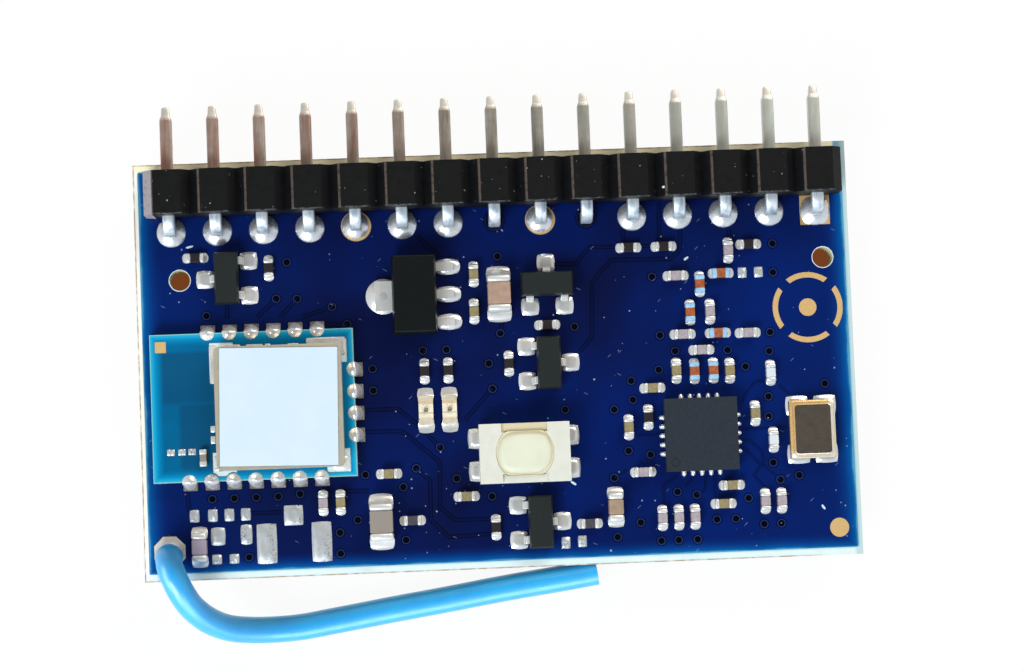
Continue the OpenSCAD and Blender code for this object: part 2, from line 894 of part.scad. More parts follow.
// A sideways direction at each point, carried along the route so that the tube doesn't twist
function square_to(v, way) = unit(v - (v * way) * way);

function route_sides(points) =
    let (last = len(points) - 1)
    [
        for (i = 0, s = [1, 0, 0]; i <= last; i = i + 1, s = square_to(s, route_way(points, min(i, last))))
            s
    ];

function ring_points(centre, way, side, r) = [
    for (k = [0 : wire_sides - 1])
        let (a = 360 * (k + 0.5) / wire_sides)
            centre + r * (cos(a) * side + sin(a) * cross(way, side))
];

module swept_tube(points, r) {
    sides = route_sides(points);
    rings = [for (i = [0 : len(points) - 1]) ring_points(points[i], route_way(points, i), sides[i], r)];
    corners = [for (ring = rings, p = ring) p];
    last = (len(points) - 1) * wire_sides;
    walls = [
        for (i = [0 : len(points) - 2], k = [0 : wire_sides - 1])
            let (a = i * wire_sides + k, b = i * wire_sides + (k + 1) % wire_sides)
                each [[a, a + wire_sides, b], [b, a + wire_sides, b + wire_sides]]
    ];
    start = [for (k = [0 : wire_sides - 1]) k];
    finish = [for (k = [wire_sides - 1 : -1 : 0]) last + k];
    polyhedron(corners, concat(walls, [start, finish]));
}

module aerial_wire() {
    color([0.1, 0.5, 0.86])
        swept_tube(route(), wire_d / 2);
}

module aerial_core() {
    color([0.76, 0.5, 0.32])
        on_board(tail_drop - core_drop)
            at_spot(aerial_spot)
                cylinder(d = core_d, h = core_drop + board_t + core_rise, $fn = notch_sides);
}

module aerial_pad() {
    color([0.82, 0.64, 0.36])
        on_board()
            at_spot(aerial_spot)
                difference() {
                    pad_plate()
                        octagon(aerial_pad_w);
                    translate([0, 0, -cut])
                        cylinder(d = core_d + aerial_slack, h = 2 * cut);
                }
}

module aerial_solder() {
    joint_d = aerial_pad_w * aerial_joint_share;
    color([0.8, 0.8, 0.79])
        on_board()
            at_spot(aerial_spot)
                difference() {
                    union() {
                        solder_cone(joint_d, core_d * solder_neck, aerial_joint_h);
                        translate([0, 0, -board_t])
                            cylinder(d = core_d + aerial_slack - plug_gap, h = board_t);
                        translate([0, 0, -board_t])
                            linear_extrude(mask_t)
                                octagon(aerial_pad_w);
                        translate([0, 0, -board_t])
                            mirror([0, 0, 1])
                                solder_cone(joint_d, core_d * solder_neck, aerial_joint_h);
                    }
                    translate([0, 0, -2 * board_t])
                        cylinder(d = core_d, h = 4 * board_t, $fn = notch_sides);
                }
}

// The shielded radio module, from its own middle, standing on the main board

module on_module(z = 0) {
    on_board(top_z + z)
        at_spot(module_spot)
            children();
}

module module_outline() {
    difference() {
        square([mod_w, mod_d], center = true);
        at_notches()
            circle(d = notch_d, $fn = notch_sides);
    }
}

module inner_half() {
    intersection() {
        children();
        translate([-mod_d, -mod_d / 2])
            square(mod_d);
    }
}

// The lands round the can's corners keep clear of the joints along the module's edges
module can_lands_flat() {
    difference() {
        translate(can_spot)
            for (x = [0, 1], y = [0, 1])
                mirror([x, 0])
                    mirror([0, y])
                        translate([can_w / 2 + can_land - land_leg, can_d / 2 + can_land - land_leg])
                            square(land_leg);
        translate(can_spot)
            square([can_w, can_d], center = true);
        at_notches()
            circle(r = notch_land_r + land_gap, $fn = notch_sides);
    }
}

module module_mark_flat() {
    translate(module_mark_spot)
        square(module_mark_w, center = true);
}

module module_pads_flat() {
    for (p = module_pad_spots)
        translate(p)
            square(module_pad_w, center = true);
}

module module_board() {
    color([0.75, 0.79, 0.6])
        on_module()
            linear_extrude(mod_t - mask_t)
                module_outline();
}

module module_mask() {
    color([0.02, 0.24, 0.5])
        on_module(mod_t - mask_t)
            linear_extrude(mask_t)
                difference() {
                    square([mod_w, mod_d], center = true);
                    at_notches()
                        circle(r = notch_land_r, $fn = notch_sides);
                    can_lands_flat();
                    module_mark_flat();
                    module_pads_flat();
                }
}

module module_pads() {
    color([0.78, 0.78, 0.76])
        on_module(mod_t)
            pad_plate()
                module_pads_flat();
}

module module_joints() {
    color([0.77, 0.77, 0.76])
        on_module() {
            pad_plate()
                notch_pads_flat();
            at_notches() {
                linear_extrude(mod_t)
                    inner_half()
                        circle(d = notch_d, $fn = notch_sides);
                translate([0, 0, mod_t - mask_t])
                    linear_extrude(mask_t)
                        inner_half()
                            circle(r = notch_land_r, $fn = notch_sides);
                fillet(mod_toe, mod_t * climb, mod_pad_w);
            }
        }
}

module screening_can() {
    corner = 2 * can_wall;
    color([0.72, 0.68, 0.6])
        on_module(mod_t)
            translate(can_spot)
                difference() {
                    linear_extrude(can_h)
                        rounded(can_w, can_d, corner);
                    translate([0, 0, -cut])
                        linear_extrude(can_h - can_wall + cut)
                            rounded(can_w - 2 * can_wall, can_d - 2 * can_wall, corner - can_wall);
                }
}

module can_label() {
    color([0.93, 0.93, 0.94])
        on_module(mod_t + can_h)
            translate(can_spot)
                rotate(label_turn)
                    block([label_w, label_w, label_t]);
}

module can_solder() {
    color([0.78, 0.77, 0.74])
        on_module(mod_t - mask_t)
            linear_extrude(mask_t + land_h)
                can_lands_flat();
}

module module_radio_chip() {
    color([0.08, 0.08, 0.09])
        on_module(mod_t)
            translate(can_spot + inner_chip_spot)
                block(inner_chip);
}

module module_crystal() {
    color([0.7, 0.62, 0.45])
        on_module(mod_t)
            translate(can_spot + inner_crystal_spot)
                block(inner_crystal);
}

module module_chips() {
    color([0.6, 0.52, 0.42])
        on_module(mod_t) {
            for (p = module_chip_spots)
                translate(p)
                    block(module_chip);
            for (p = inner_chip_spots)
                translate(can_spot + p)
                    block(module_chip);
        }
}

// The regulator: a flat tab and leads under a moulded body

module regulator_frame() {
    reach = reg_w / 2 + reg_reach;
    translate([-reach, -reg_tab_w / 2, 0])
        cube([reach, reg_tab_w, reg_lead_t]);
    for (i = [-1 : 1])
        translate([i == 0 ? 0 : reg_w / 4, i * reg_pitch - reg_lead_w / 2, 0])
            cube([reach - (i == 0 ? 0 : reg_w / 4), reg_lead_w, reg_lead_t]);
}

module regulator_body() {
    color([0.06, 0.06, 0.065])
        on_board()
            at_spot(regulator_spot)
                difference() {
                    moulded(reg_w, reg_l, 0, reg_h, sot_draft);
                    regulator_frame();
                }
}

module regulator_leads() {
    color([0.75, 0.75, 0.74])
        on_board()
            at_spot(regulator_spot)
                regulator_frame();
}

// The transistors: one lead on +X, two on -X

function lead_points() =
    let (
        middle_z = sot_stand + sot_h / 2,
        inside = sot_w / 4,
        knee = sot_w / 2 + lead_t,
        foot = knee + lead_t,
        tip = sot_span / 2
    )
    [
        [inside, middle_z - lead_t / 2], [knee - lead_t, middle_z - lead_t / 2], [foot - lead_t, 0],
        [tip, 0], [tip, lead_t], [foot, lead_t], [knee, middle_z + lead_t / 2],
        [inside, middle_z + lead_t / 2]
    ];

module lead() {
    rotate([90, 0, 0])
        linear_extrude(lead_w, center = true)
            polygon(lead_points());
}

module sot_leads() {
    lead();
    for (y = [-1, 1])
        translate([0, y * lead_pitch / 2, 0])
            rotate(180)
                lead();
}

module transistor_body(i) {
    color([0.07, 0.07, 0.075])
        on_board()
            at_spot(transistor_spots[i])
                difference() {
                    moulded(sot_w, sot_l, sot_stand, sot_stand + sot_h, sot_draft);
                    sot_leads();
                }
}

module transistor_leads(i) {
    color([0.75, 0.75, 0.74])
        on_board()
            at_spot(transistor_spots[i])
                sot_leads();
}

// The second radio chip, with its terminals flush in the edges of its body

module radio_metal() {
    at_terminals()
        translate([-radio_term_l, -radio_term_w / 2, 0])
            cube([radio_term_l, radio_term_w, radio_term_h]);
    block([radio_slug, radio_slug, radio_term_h]);
}

module radio_chip_body() {
    dimple = radio_w / 8;
    color([0.07, 0.07, 0.075])
        on_board()
            at_spot(radio_spot)
                difference() {
                    block([radio_w, radio_w, radio_h]);
                    radio_metal();
                    translate([dimple - radio_w / 2, dimple - radio_w / 2, radio_h - mask_t])
                        cylinder(d = dimple, h = cut);
                }
}

module radio_chip_terminals() {
    color([0.8, 0.8, 0.79])
        on_board()
            at_spot(radio_spot)
                radio_metal();
}

// The crystal: a ceramic case, a quartz blank, a gold seal ring and a lid

// The hollow in the case, cut clear through its top
function crystal_room() = [crystal_w - 2 * crystal_wall, crystal_l - 2 * crystal_wall, crystal_h];

module crystal_case() {
    color([0.82, 0.78, 0.7])
        on_board()
            at_spot(crystal_spot)
                difference() {
                    block([crystal_w, crystal_l, crystal_h]);
                    block(crystal_room(), crystal_floor);
                }
}

module crystal_blank() {
    blank_t = 0.08;
    slack = 0.1;
    color([0.86, 0.88, 0.9])
        on_board(top_z + crystal_floor)
            at_spot(crystal_spot)
                block([crystal_room()[0] - 2 * slack, crystal_room()[1] - 2 * slack, blank_t]);
}

module crystal_seal_ring() {
    corner = seal_inset + lid_inset;
    color([0.85, 0.66, 0.38])
        on_board(top_z + crystal_h)
            at_spot(crystal_spot)
                linear_extrude(seal_h)
                    difference() {
                        rounded(crystal_w - 2 * seal_inset, crystal_l - 2 * seal_inset, corner);
                        rounded(crystal_room()[0], crystal_room()[1], seal_inset);
                    }
}

module crystal_lid() {
    color([0.33, 0.27, 0.22])
        on_board(top_z + crystal_h + seal_h)
            at_spot(crystal_spot)
                linear_extrude(lid_t)
                    rounded(crystal_w - 2 * lid_inset, crystal_l - 2 * lid_inset, lid_inset);
}

// The push switch: a base with a snap dome, a frame, and a button that the frame keeps in

module button_flat(gap) {
    intersection() {
        circle(d = button_w + 2 * gap);
        square([button_w + 2 * gap, button_d + 2 * gap], center = true);
    }
}

module rim_flat(gap) {
    square([rim_w + 2 * gap, rim_d + 2 * gap], center = true);
}

module switch_metal() {
    for (x = [0, 1], y = [-1, 1])
        mirror([x, 0])
            translate([sw_w / 2 - 2 * term_reach, y * term_pitch / 2 - term_w / 2, 0])
                cube([3 * term_reach, term_w, term_t]);
}

module switch_base() {
    color([0.9, 0.88, 0.8])
        on_board()
            at_spot(switch_spot)
                difference() {
                    block([sw_w, sw_d, sw_base_h]);
                    translate([0, 0, rim_pocket_floor])
                        linear_extrude(sw_base_h)
                            rim_flat(button_gap);
                    translate([0, 0, dome_floor])
                        cylinder(r = dome_r + button_gap, h = sw_base_h);
                    switch_metal();
                }
}

module switch_frame() {
    color([0.92, 0.9, 0.82])
        on_board(top_z + sw_base_h)
            at_spot(switch_spot)
                difference() {
                    block([sw_w, sw_d, sw_frame_h]);
                    translate([0, 0, -cut])
                        linear_extrude(sw_frame_h + 2 * cut)
                            button_flat(button_gap);
                    translate([0, 0, -cut])
                        linear_extrude(rim_top - sw_base_h + cut)
                            rim_flat(button_gap);
                    for (y = [-1, 1])
                        translate([0, y * (sw_d / 2 + button_d / 2), 0])
                            block([step_w, sw_d, step_h + cut], sw_frame_h - step_h);
                }
}

module switch_button() {
    color([0.94, 0.91, 0.8])
        on_board()
            at_spot(switch_spot) {
                translate([0, 0, rim_low])
                    linear_extrude(button_top - rim_low)
                        button_flat(0);
                translate([0, 0, rim_low])
                    linear_extrude(rim_t)
                        rim_flat(0);
                translate([0, 0, nub_low])
                    cylinder(r = nub_r, h = rim_low - nub_low);
            }
}

// A thin cap cut from a ball, standing on its rim
module switch_dome() {
    ball_r = (dome_r * dome_r + dome_rise * dome_rise) / (2 * dome_rise);
    color([0.72, 0.72, 0.72])
        on_board(top_z + dome_floor)
            at_spot(switch_spot)
                intersection() {
                    translate([0, 0, dome_rise - ball_r])
                        difference() {
                            sphere(ball_r);
                            sphere(ball_r - dome_t);
                        }
                    cylinder(r = dome_r, h = dome_rise);
                }
}

module switch_terminals() {
    color([0.8, 0.8, 0.78])
        on_board()
            at_spot(switch_spot)
                switch_metal();
}

// Chips with a metal end at each side, drawn along X on the board's face

module chip_body(c) {
    block([c[0] - 2 * c[3], c[1], c[2] - chip_stand], chip_stand);
}

module chip_ends(c) {
    both_ends()
        translate([c[0] / 2 - c[3], -c[1] / 2 - plating, 0])
            cube([c[3], c[1] + 2 * plating, c[2] + plating]);
}

module chip_solder(c) {
    pad_plate()
        chip_pads_flat(c);
    both_ends()
        translate([c[0] / 2, 0, 0])
            fillet(c[4], c[2] * climb, c[1] + 2 * pad_side);
}

module lamp_bases() {
    color([0.9, 0.89, 0.82])
        on_board()
            at_spots(lamp_spots)
                chip_body(lamp);
}

module lamp_ends() {
    color([0.8, 0.78, 0.7])
        on_board()
            at_spots(lamp_spots)
                chip_ends(lamp);
}

module lamp_lenses() {
    color([0.9, 0.9, 0.84])
        on_board(top_z + lamp_base_h)
            at_spots(lamp_spots)
                block([lamp_l - 2 * lamp_end, lamp_w, lamp_lens_h]);
}

module resistor_bodies() {
    color([0.06, 0.06, 0.065])
        on_board()
            at_spots(resistor_spots)
                chip_body(resistor);
}

module tan_capacitor_bodies() {
    color([0.55, 0.45, 0.32])
        on_board()
            at_spots(tan_spots)
                chip_body(capacitor);
}

module grey_capacitor_bodies() {
    color([0.56, 0.5, 0.52])
        on_board()
            at_spots(grey_spots)
                chip_body(capacitor);
}

module bead_bodies() {
    color([0.25, 0.26, 0.29])
        on_board()
            at_spots(bead_spots)
                chip_body(capacitor);
}

module inductor_bodies() {
    color([0.55, 0.33, 0.2])
        on_board()
            at_spots(inductor_spots)
                chip_body(inductor);
}

module small_chip_ends() {
    color([0.8, 0.8, 0.8])
        on_board() {
            at_spots(resistor_spots)
                chip_ends(resistor);
            at_spots(concat(tan_spots, grey_spots, bead_spots))
                chip_ends(capacitor);
            at_spots(inductor_spots)
                chip_ends(inductor);
        }
}

module small_chip_solder() {
    color([0.78, 0.78, 0.78])
        on_board() {
            at_spots(resistor_spots)
                chip_solder(resistor);
            at_spots(concat(tan_spots, grey_spots, bead_spots))
                chip_solder(capacitor);
            at_spots(inductor_spots)
                chip_solder(inductor);
        }
}

module middle_capacitor_bodies() {
    color([0.55, 0.46, 0.4])
        on_board()
            at_spots(middle_spots)
                chip_body(middle);
}

module large_capacitor_bodies() {
    color([0.7, 0.58, 0.48])
        on_board()
            at_spots(large_spots)
                chip_body(large);
}

module larger_capacitor_ends() {
    color([0.8, 0.8, 0.8])
        on_board() {
            at_spots(middle_spots)
                chip_ends(middle);
            at_spots(large_spots)
                chip_ends(large);
        }
}

// Solder of the lamps, the larger capacitors and every device with leads
module device_solder() {
    color([0.78, 0.78, 0.78])
        on_board() {
            at_spots(lamp_spots)
                chip_solder(lamp);
            at_spots(middle_spots)
                chip_solder(middle);
            at_spots(large_spots)
                chip_solder(large);
            at_spots(transistor_spots) {
                pad_plate()
                    sot_pads_flat();
                translate([sot_span / 2, 0, 0])
                    fillet(sot_pad_l / 2, lead_t, lead_w);
                for (y = [-1, 1])
                    translate([-sot_span / 2, y * lead_pitch / 2, 0])
                        rotate(180)
                            fillet(sot_pad_l / 2, lead_t, lead_w);
            }
            at_spot(regulator_spot) {
                pad_plate()
                    regulator_pads_flat();
                for (i = [-1 : 1])
                    translate([reg_w / 2 + reg_reach, i * reg_pitch, 0])
                        fillet(reg_toe, reg_lead_t, reg_lead_w);
            }
            at_spot(radio_spot) {
                pad_plate()
                    radio_pads_flat();
                at_terminals()
                    fillet(radio_toe, radio_term_h, radio_term_w);
            }
            at_spot(crystal_spot)
                pad_plate()
                    crystal_pads_flat();
            at_spot(switch_spot) {
                pad_plate()
                    switch_pads_flat();
                for (x = [0, 1], y = [-1, 1])
                    mirror([x, 0])
                        translate([sw_w / 2 + term_reach, y * term_pitch / 2, 0])
                            fillet(2 * pad_side, term_t, term_w);
            }
        }
}

main_board();
solder_mask_top();
solder_mask_bottom();
gold_marks();
spare_pads();
header_housing();
header_pins();
header_solder();
aerial_wire();
aerial_core();
aerial_pad();
aerial_solder();
module_board();
module_mask();
module_pads();
module_joints();
screening_can();
can_label();
can_solder();
module_radio_chip();
module_crystal();
module_chips();
regulator_body();
regulator_leads();
transistor_body(0);  // transistor_1_body
transistor_body(1);  // transistor_2_body
transistor_body(2);  // transistor_3_body
transistor_body(3);  // transistor_4_body
transistor_leads(0);  // transistor_1_leads
transistor_leads(1);  // transistor_2_leads
transistor_leads(2);  // transistor_3_leads
transistor_leads(3);  // transistor_4_leads
radio_chip_body();
radio_chip_terminals();
crystal_case();
crystal_blank();
crystal_seal_ring();
crystal_lid();
switch_base();
switch_frame();
switch_button();
switch_dome();
switch_terminals();
lamp_bases();
lamp_ends();
lamp_lenses();
resistor_bodies();
tan_capacitor_bodies();
grey_capacitor_bodies();
bead_bodies();
inductor_bodies();
small_chip_ends();
small_chip_solder();
middle_capacitor_bodies();
large_capacitor_bodies();
larger_capacitor_ends();
device_solder();
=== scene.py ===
# %% [markdown]
# # Dressing a small radio board
# The solids of this board were drawn in a CAD tool and packed as a fixed frame. Blender's part is the look: solder
# that has flowed, lacquer over copper, dust, moulded plastic and soft light. We load the frame first and keep its
# outer box, because nothing that we add may make the object bigger than the solids are.

# %% Load the frame
import math
import random

import bmesh
import bpy
import numpy as np
from mathutils import Matrix, Vector


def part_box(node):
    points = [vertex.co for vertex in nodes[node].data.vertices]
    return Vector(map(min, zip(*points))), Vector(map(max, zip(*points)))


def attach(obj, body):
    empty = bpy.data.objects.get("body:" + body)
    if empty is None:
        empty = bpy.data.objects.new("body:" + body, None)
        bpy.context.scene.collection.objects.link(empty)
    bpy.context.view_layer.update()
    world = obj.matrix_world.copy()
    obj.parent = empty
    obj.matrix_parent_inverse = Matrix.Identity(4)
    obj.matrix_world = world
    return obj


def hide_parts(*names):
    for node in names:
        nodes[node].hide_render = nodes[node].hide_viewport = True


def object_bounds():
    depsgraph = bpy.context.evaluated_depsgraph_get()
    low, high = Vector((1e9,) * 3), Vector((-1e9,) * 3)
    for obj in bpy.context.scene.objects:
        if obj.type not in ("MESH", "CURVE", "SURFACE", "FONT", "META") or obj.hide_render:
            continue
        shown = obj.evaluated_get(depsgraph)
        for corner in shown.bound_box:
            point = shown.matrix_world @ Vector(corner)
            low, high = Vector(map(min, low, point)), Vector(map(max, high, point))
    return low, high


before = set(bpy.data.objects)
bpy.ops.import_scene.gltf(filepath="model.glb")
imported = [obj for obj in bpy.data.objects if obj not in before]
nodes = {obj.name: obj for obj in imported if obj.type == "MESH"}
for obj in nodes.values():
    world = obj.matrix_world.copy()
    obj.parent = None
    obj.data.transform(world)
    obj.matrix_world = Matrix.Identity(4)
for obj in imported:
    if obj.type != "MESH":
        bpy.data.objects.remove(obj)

cad_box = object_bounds()
print("loaded", len(nodes), "solids, box", [tuple(round(v, 5) for v in corner) for corner in cad_box])

# %% [markdown]
# All places on the board are read in millimetres from the board's middle and from the top of its lacquer, as one
# would with a ruler. A small function turns them into the frame's metres, and another finds the separate solids in
# a node, so that most places come from the frame itself and not from numbers typed twice.

# %% Rulers
MM = 0.001
X, Y, Z = 0, 1, 2
board_low, board_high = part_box("main_board")
BOARD_MIDDLE = (board_low + board_high) / 2
BOARD_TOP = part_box("solder_mask_top")[1].z
BOARD_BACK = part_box("solder_mask_bottom")[0].z


def on_board(x, y, z=0.0):
    return Vector((BOARD_MIDDLE.x + x * MM, BOARD_MIDDLE.y + y * MM, BOARD_TOP + z * MM))


def solids_of(name):
    """The boxes of a node's separate solids, as pairs of corners, in the order in which the solids were made."""
    mesh = bmesh.new()
    mesh.from_mesh(nodes[name].data)
    bmesh.ops.remove_doubles(mesh, verts=mesh.verts, dist=1e-7)
    seen, boxes = set(), []
    for start in mesh.verts:
        if start in seen:
            continue
        seen.add(start)
        todo, points = [start], []
        while todo:
            vertex = todo.pop()
            points.append(vertex.co.copy())
            fresh = {edge.other_vert(vertex) for edge in vertex.link_edges} - seen
            seen |= fresh
            todo += fresh
        points = np.array(points)
        boxes.append((Vector(points.min(0)), Vector(points.max(0))))
    mesh.free()
    return boxes


print("board top at", round(BOARD_TOP, 5), "- header pins:", len(solids_of("header_pins")))

# %% [markdown]
# ## Camera
# The photograph was taken from almost straight above with a long lens. The pins and corners seen in it give the
# camera: three turns, a distance and a focal length. Blender's camera looks along its own minus Z, so the fitted
# turn is used the other way round, and the camera stands where the fit puts the eye.

# %% The camera
TURNS = [math.radians(angle) for angle in (-3.6011501, 1.86268158, 2.15663473)]
EYE_SHIFT = Vector((-0.78517243, -1.29647116, -150.0))
FOCAL_PIXELS, PICTURE_WIDTH, SENSOR, NEAREST = 2724.8727, 1024, 36.0, 0.002


def show(name, data):
    """Puts new data into the scene as an object."""
    made = bpy.data.objects.new(name, data)
    bpy.context.scene.collection.objects.link(made)
    return made


turn = Matrix.Rotation(TURNS[2], 3, "Z") @ Matrix.Rotation(TURNS[1], 3, "Y") @ Matrix.Rotation(TURNS[0], 3, "X")
eye = -(turn.transposed() @ EYE_SHIFT)
camera_data = bpy.data.cameras.new("camera")
camera_data.sensor_fit = "HORIZONTAL"
camera_data.sensor_width = SENSOR
camera_data.lens = FOCAL_PIXELS * SENSOR / PICTURE_WIDTH
camera_data.clip_start = NEAREST
camera = show("camera", camera_data)
camera.matrix_world = Matrix.Translation(on_board(*eye)) @ turn.transposed().to_4x4()
bpy.context.scene.camera = camera
bpy.context.scene.view_settings.view_transform = "Standard"
print("lens", round(camera_data.lens, 2), "mm at", [round(v, 4) for v in camera.matrix_world.translation])

# %% [markdown]
# ## The aerial wire
# The aerial is a short, stiff wire in blue insulation. It rises from its solder joint, bends over the board's edge
# and lies on the table. A curve with a round bevel is the natural way to make a wire: its centreline is the route
# that the solid follows, smoothed so that no ring of facets shows. The bevel is given in millimetres and each point
# scales it to metres, because Blender counts a point's radius in the curve's box.

# %% The wire's route
WIRE_RADIUS, WIRE_ROUNDNESS = 0.725, 8
WIRE_ROOT = (-18.3, -9.85)
RISING = [(0.02, -0.26, 0.35), (0.03, -0.27, 1.0), (0.07, -0.45, 1.62), (0.18, -0.84, 2.08), (0.4, -1.4, 2.25),
          (0.74, -2.18, 2.0), (1.22, -3.0, 1.35), (2.0, -3.75, 0.45)]
LYING = [(3.0, -4.25, 1.9), (4.2, -4.45, 1.15), (5.5, -4.5, 0.6), (7.0, -4.43, 0.25), (8.6, -4.2, 0.1),
         (10.4, -3.93, 0), (12.1, -3.67, 0), (14.0, -3.4, 0), (15.7, -3.15, 0), (17.5, -2.87, 0), (19.3, -2.62, 0),
         (21.4, -2.35, 0), (23.42, -2.06, 0)]
table_z = (cad_box[0].z - BOARD_TOP) / MM

route = [on_board(WIRE_ROOT[X] + x, WIRE_ROOT[Y] + y, z) for x, y, z in RISING]
route += [on_board(WIRE_ROOT[X] + x, WIRE_ROOT[Y] + y, table_z + WIRE_RADIUS + z) for x, y, z in LYING]


def smooth_line(points, steps=6):
    """A line through all the points with no corners, as a Catmull-Rom curve."""
    ends = [2 * points[0] - points[1]] + points + [2 * points[-1] - points[-2]]
    line = []
    for p0, p1, p2, p3 in zip(ends, ends[1:], ends[2:], ends[3:]):
        for t in np.arange(steps) / steps:
            line.append(0.5 * (2 * p1 + (p2 - p0) * t + (2 * p0 - 5 * p1 + 4 * p2 - p3) * t ** 2
                               + (3 * p1 - p0 - 3 * p2 + p3) * t ** 3))
    return line + [points[-1]]


wire_line = smooth_line(route)
wire_curve = bpy.data.curves.new("aerial_insulation", "CURVE")
wire_curve.dimensions = "3D"
wire_curve.bevel_depth = WIRE_RADIUS
wire_curve.bevel_resolution = WIRE_ROUNDNESS
wire_curve.use_fill_caps = True
spline = wire_curve.splines.new("POLY")
spline.points.add(len(wire_line) - 1)
for point, place in zip(spline.points, wire_line):
    point.co = (*place, 1)
    point.radius = MM
wire = show("aerial_insulation", wire_curve)
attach(wire, "board")
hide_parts("aerial_wire")
print("wire of", round(sum((b - a).length for a, b in zip(wire_line, wire_line[1:])) / MM, 2), "mm")

# %% [markdown]
# ## A kit for meshes
# What we add is collected as plain points and faces first and made into a piece at the end. Each drop of solder
# could be an object of its own, but a hundred drops in one mesh are easier to dress and quicker to draw. Each point
# also carries one value, which the lacquer reads later as a gap in the copper, and in holes as painted shade.

# %% Pieces
class Stock:
    """Points, faces and one value for each point, collected for a single piece."""

    def __init__(self):
        self.points, self.faces, self.values = [], [], []

    def add(self, points, faces, values=None):
        start = len(self.points)
        self.points += [tuple(p) for p in points]
        self.faces += [tuple(start + i for i in face) for face in faces]
        self.values += values or [0.0] * len(points)


def make_piece(name, stock, finish, replaced=(), body="board", sharp=50):
    """One visible piece: its mesh, its finish, the body it rides on and the solids whose place it takes."""
    mesh = bpy.data.meshes.new(name)
    mesh.from_pydata(stock.points, [], stock.faces)
    mesh.attributes.new("gap", "FLOAT", "POINT").data.foreach_set("value", stock.values)
    mesh.shade_smooth()
    mesh.set_sharp_from_angle(angle=math.radians(sharp))
    made = show(name, mesh)
    mesh.materials.append(finishes[finish])
    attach(made, body)
    if replaced:
        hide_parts(*replaced)
    print(name, len(mesh.vertices), "points")
    return made


print("pieces carry the value gap")

# %% [markdown]
# Most of what we add is solder, and solder is always the same kind of thing: a low drop with a rounded outline that
# climbs up whatever it wets. One function makes every drop from a grid of points, a height rule and a measure of how
# far the corners are rounded, and closes it below so that it is a solid.

# %% Drops
ALONG_X = (1, 0)


def faces_between(rows, count, closed=True, first=0):
    """Faces between rows of count points. A face's first corner decides along which diagonal Blender splits it."""
    faces = []
    for r in range(rows - 1):
        for k in range(count if closed else count - 1):
            n = (k + 1) % count
            corners = (r * count + k, (r + 1) * count + k, (r + 1) * count + n, r * count + n)
            faces.append(corners[first:] + corners[:first])
    return faces


def drop(stock, middle, along, size, height, rounding=0.3, steps=10, up=1, foot=0.03):
    """One drop of solder on a surface at middle. Along is the direction of a, from -1 to 1, and b runs across."""
    a, b = np.meshgrid(np.linspace(-1, 1, steps), np.linspace(-1, 1, steps), indexing="ij")
    along = np.array(along[:2], float) / math.hypot(*along[:2])
    x = a * np.sqrt(1 - rounding * b ** 2 / 2) * size[0] / 2
    y = b * np.sqrt(1 - rounding * a ** 2 / 2) * size[1] / 2
    spread = np.stack((along[0] * x - along[1] * y, along[1] * x + along[0] * y, up * height(a, b)), -1)
    top = np.array(middle) + spread.reshape(-1, 3) * MM
    last = steps - 1
    ring = ([(i, 0) for i in range(last)] + [(last, j) for j in range(last)]
            + [(i, last) for i in range(last, 0, -1)] + [(0, j) for j in range(last, 0, -1)])
    rim = [i * steps + j for i, j in ring]
    base = [(*top[k][:2], middle[2] - up * foot * MM) for k in rim]
    below = range(steps ** 2, steps ** 2 + len(rim))
    faces = faces_between(steps, steps, closed=False)
    faces += [(rim[k - 1], below[k - 1], below[k], rim[k]) for k in range(len(rim))]
    faces.append(tuple(reversed(below)))
    stock.add([*top, *base], faces if up > 0 else [face[::-1] for face in faces])


def lumps(seed):
    """A gentle, repeatable unevenness over a drop, about -1 to 1."""
    draw = random.Random(seed)
    p = [draw.uniform(0, 2 * math.pi) for _ in range(5)]
    return lambda a, b: (np.sin(2.1 * a + p[0]) * np.sin(2.4 * b + p[1]) + 0.6 * np.sin(4.3 * a + 1.7 * b + p[2])
                         + 0.4 * np.sin(5.2 * b + p[3]) + 0.3 * np.sin(6.1 * a - 2.3 * b + p[4])) / 2


def radius_of(a, b):
    """The distance from a round drop's middle, 0 to 1."""
    return np.sqrt(a ** 2 + b ** 2 - a ** 2 * b ** 2)


print("unevenness in the middle of the first drop:", round(float(lumps(0)(0.0, 0.0)), 3))

# %% [markdown]
# ## A kit for shaders
# A material, the sky and a node group are all trees of nodes. Each node could be placed by hand in the shader
# editor, or here with four lines of code. A small class makes that one call, so that a finish reads like a recipe.
# Colours are written as they look on the screen and turned into light values on the way in.

# %% Shader helpers
def light(colour):
    """A screen colour of three values, 0 to 255, as the light values that shaders use. Anything else passes."""
    if not isinstance(colour, tuple) or len(colour) != 3:
        return colour
    return tuple(v / 255 / 12.92 if v <= 10 else ((v / 255 + 0.055) / 1.055) ** 2.4 for v in colour) + (1.0,)


def grey(value):
    return (value, value, value, 1.0)


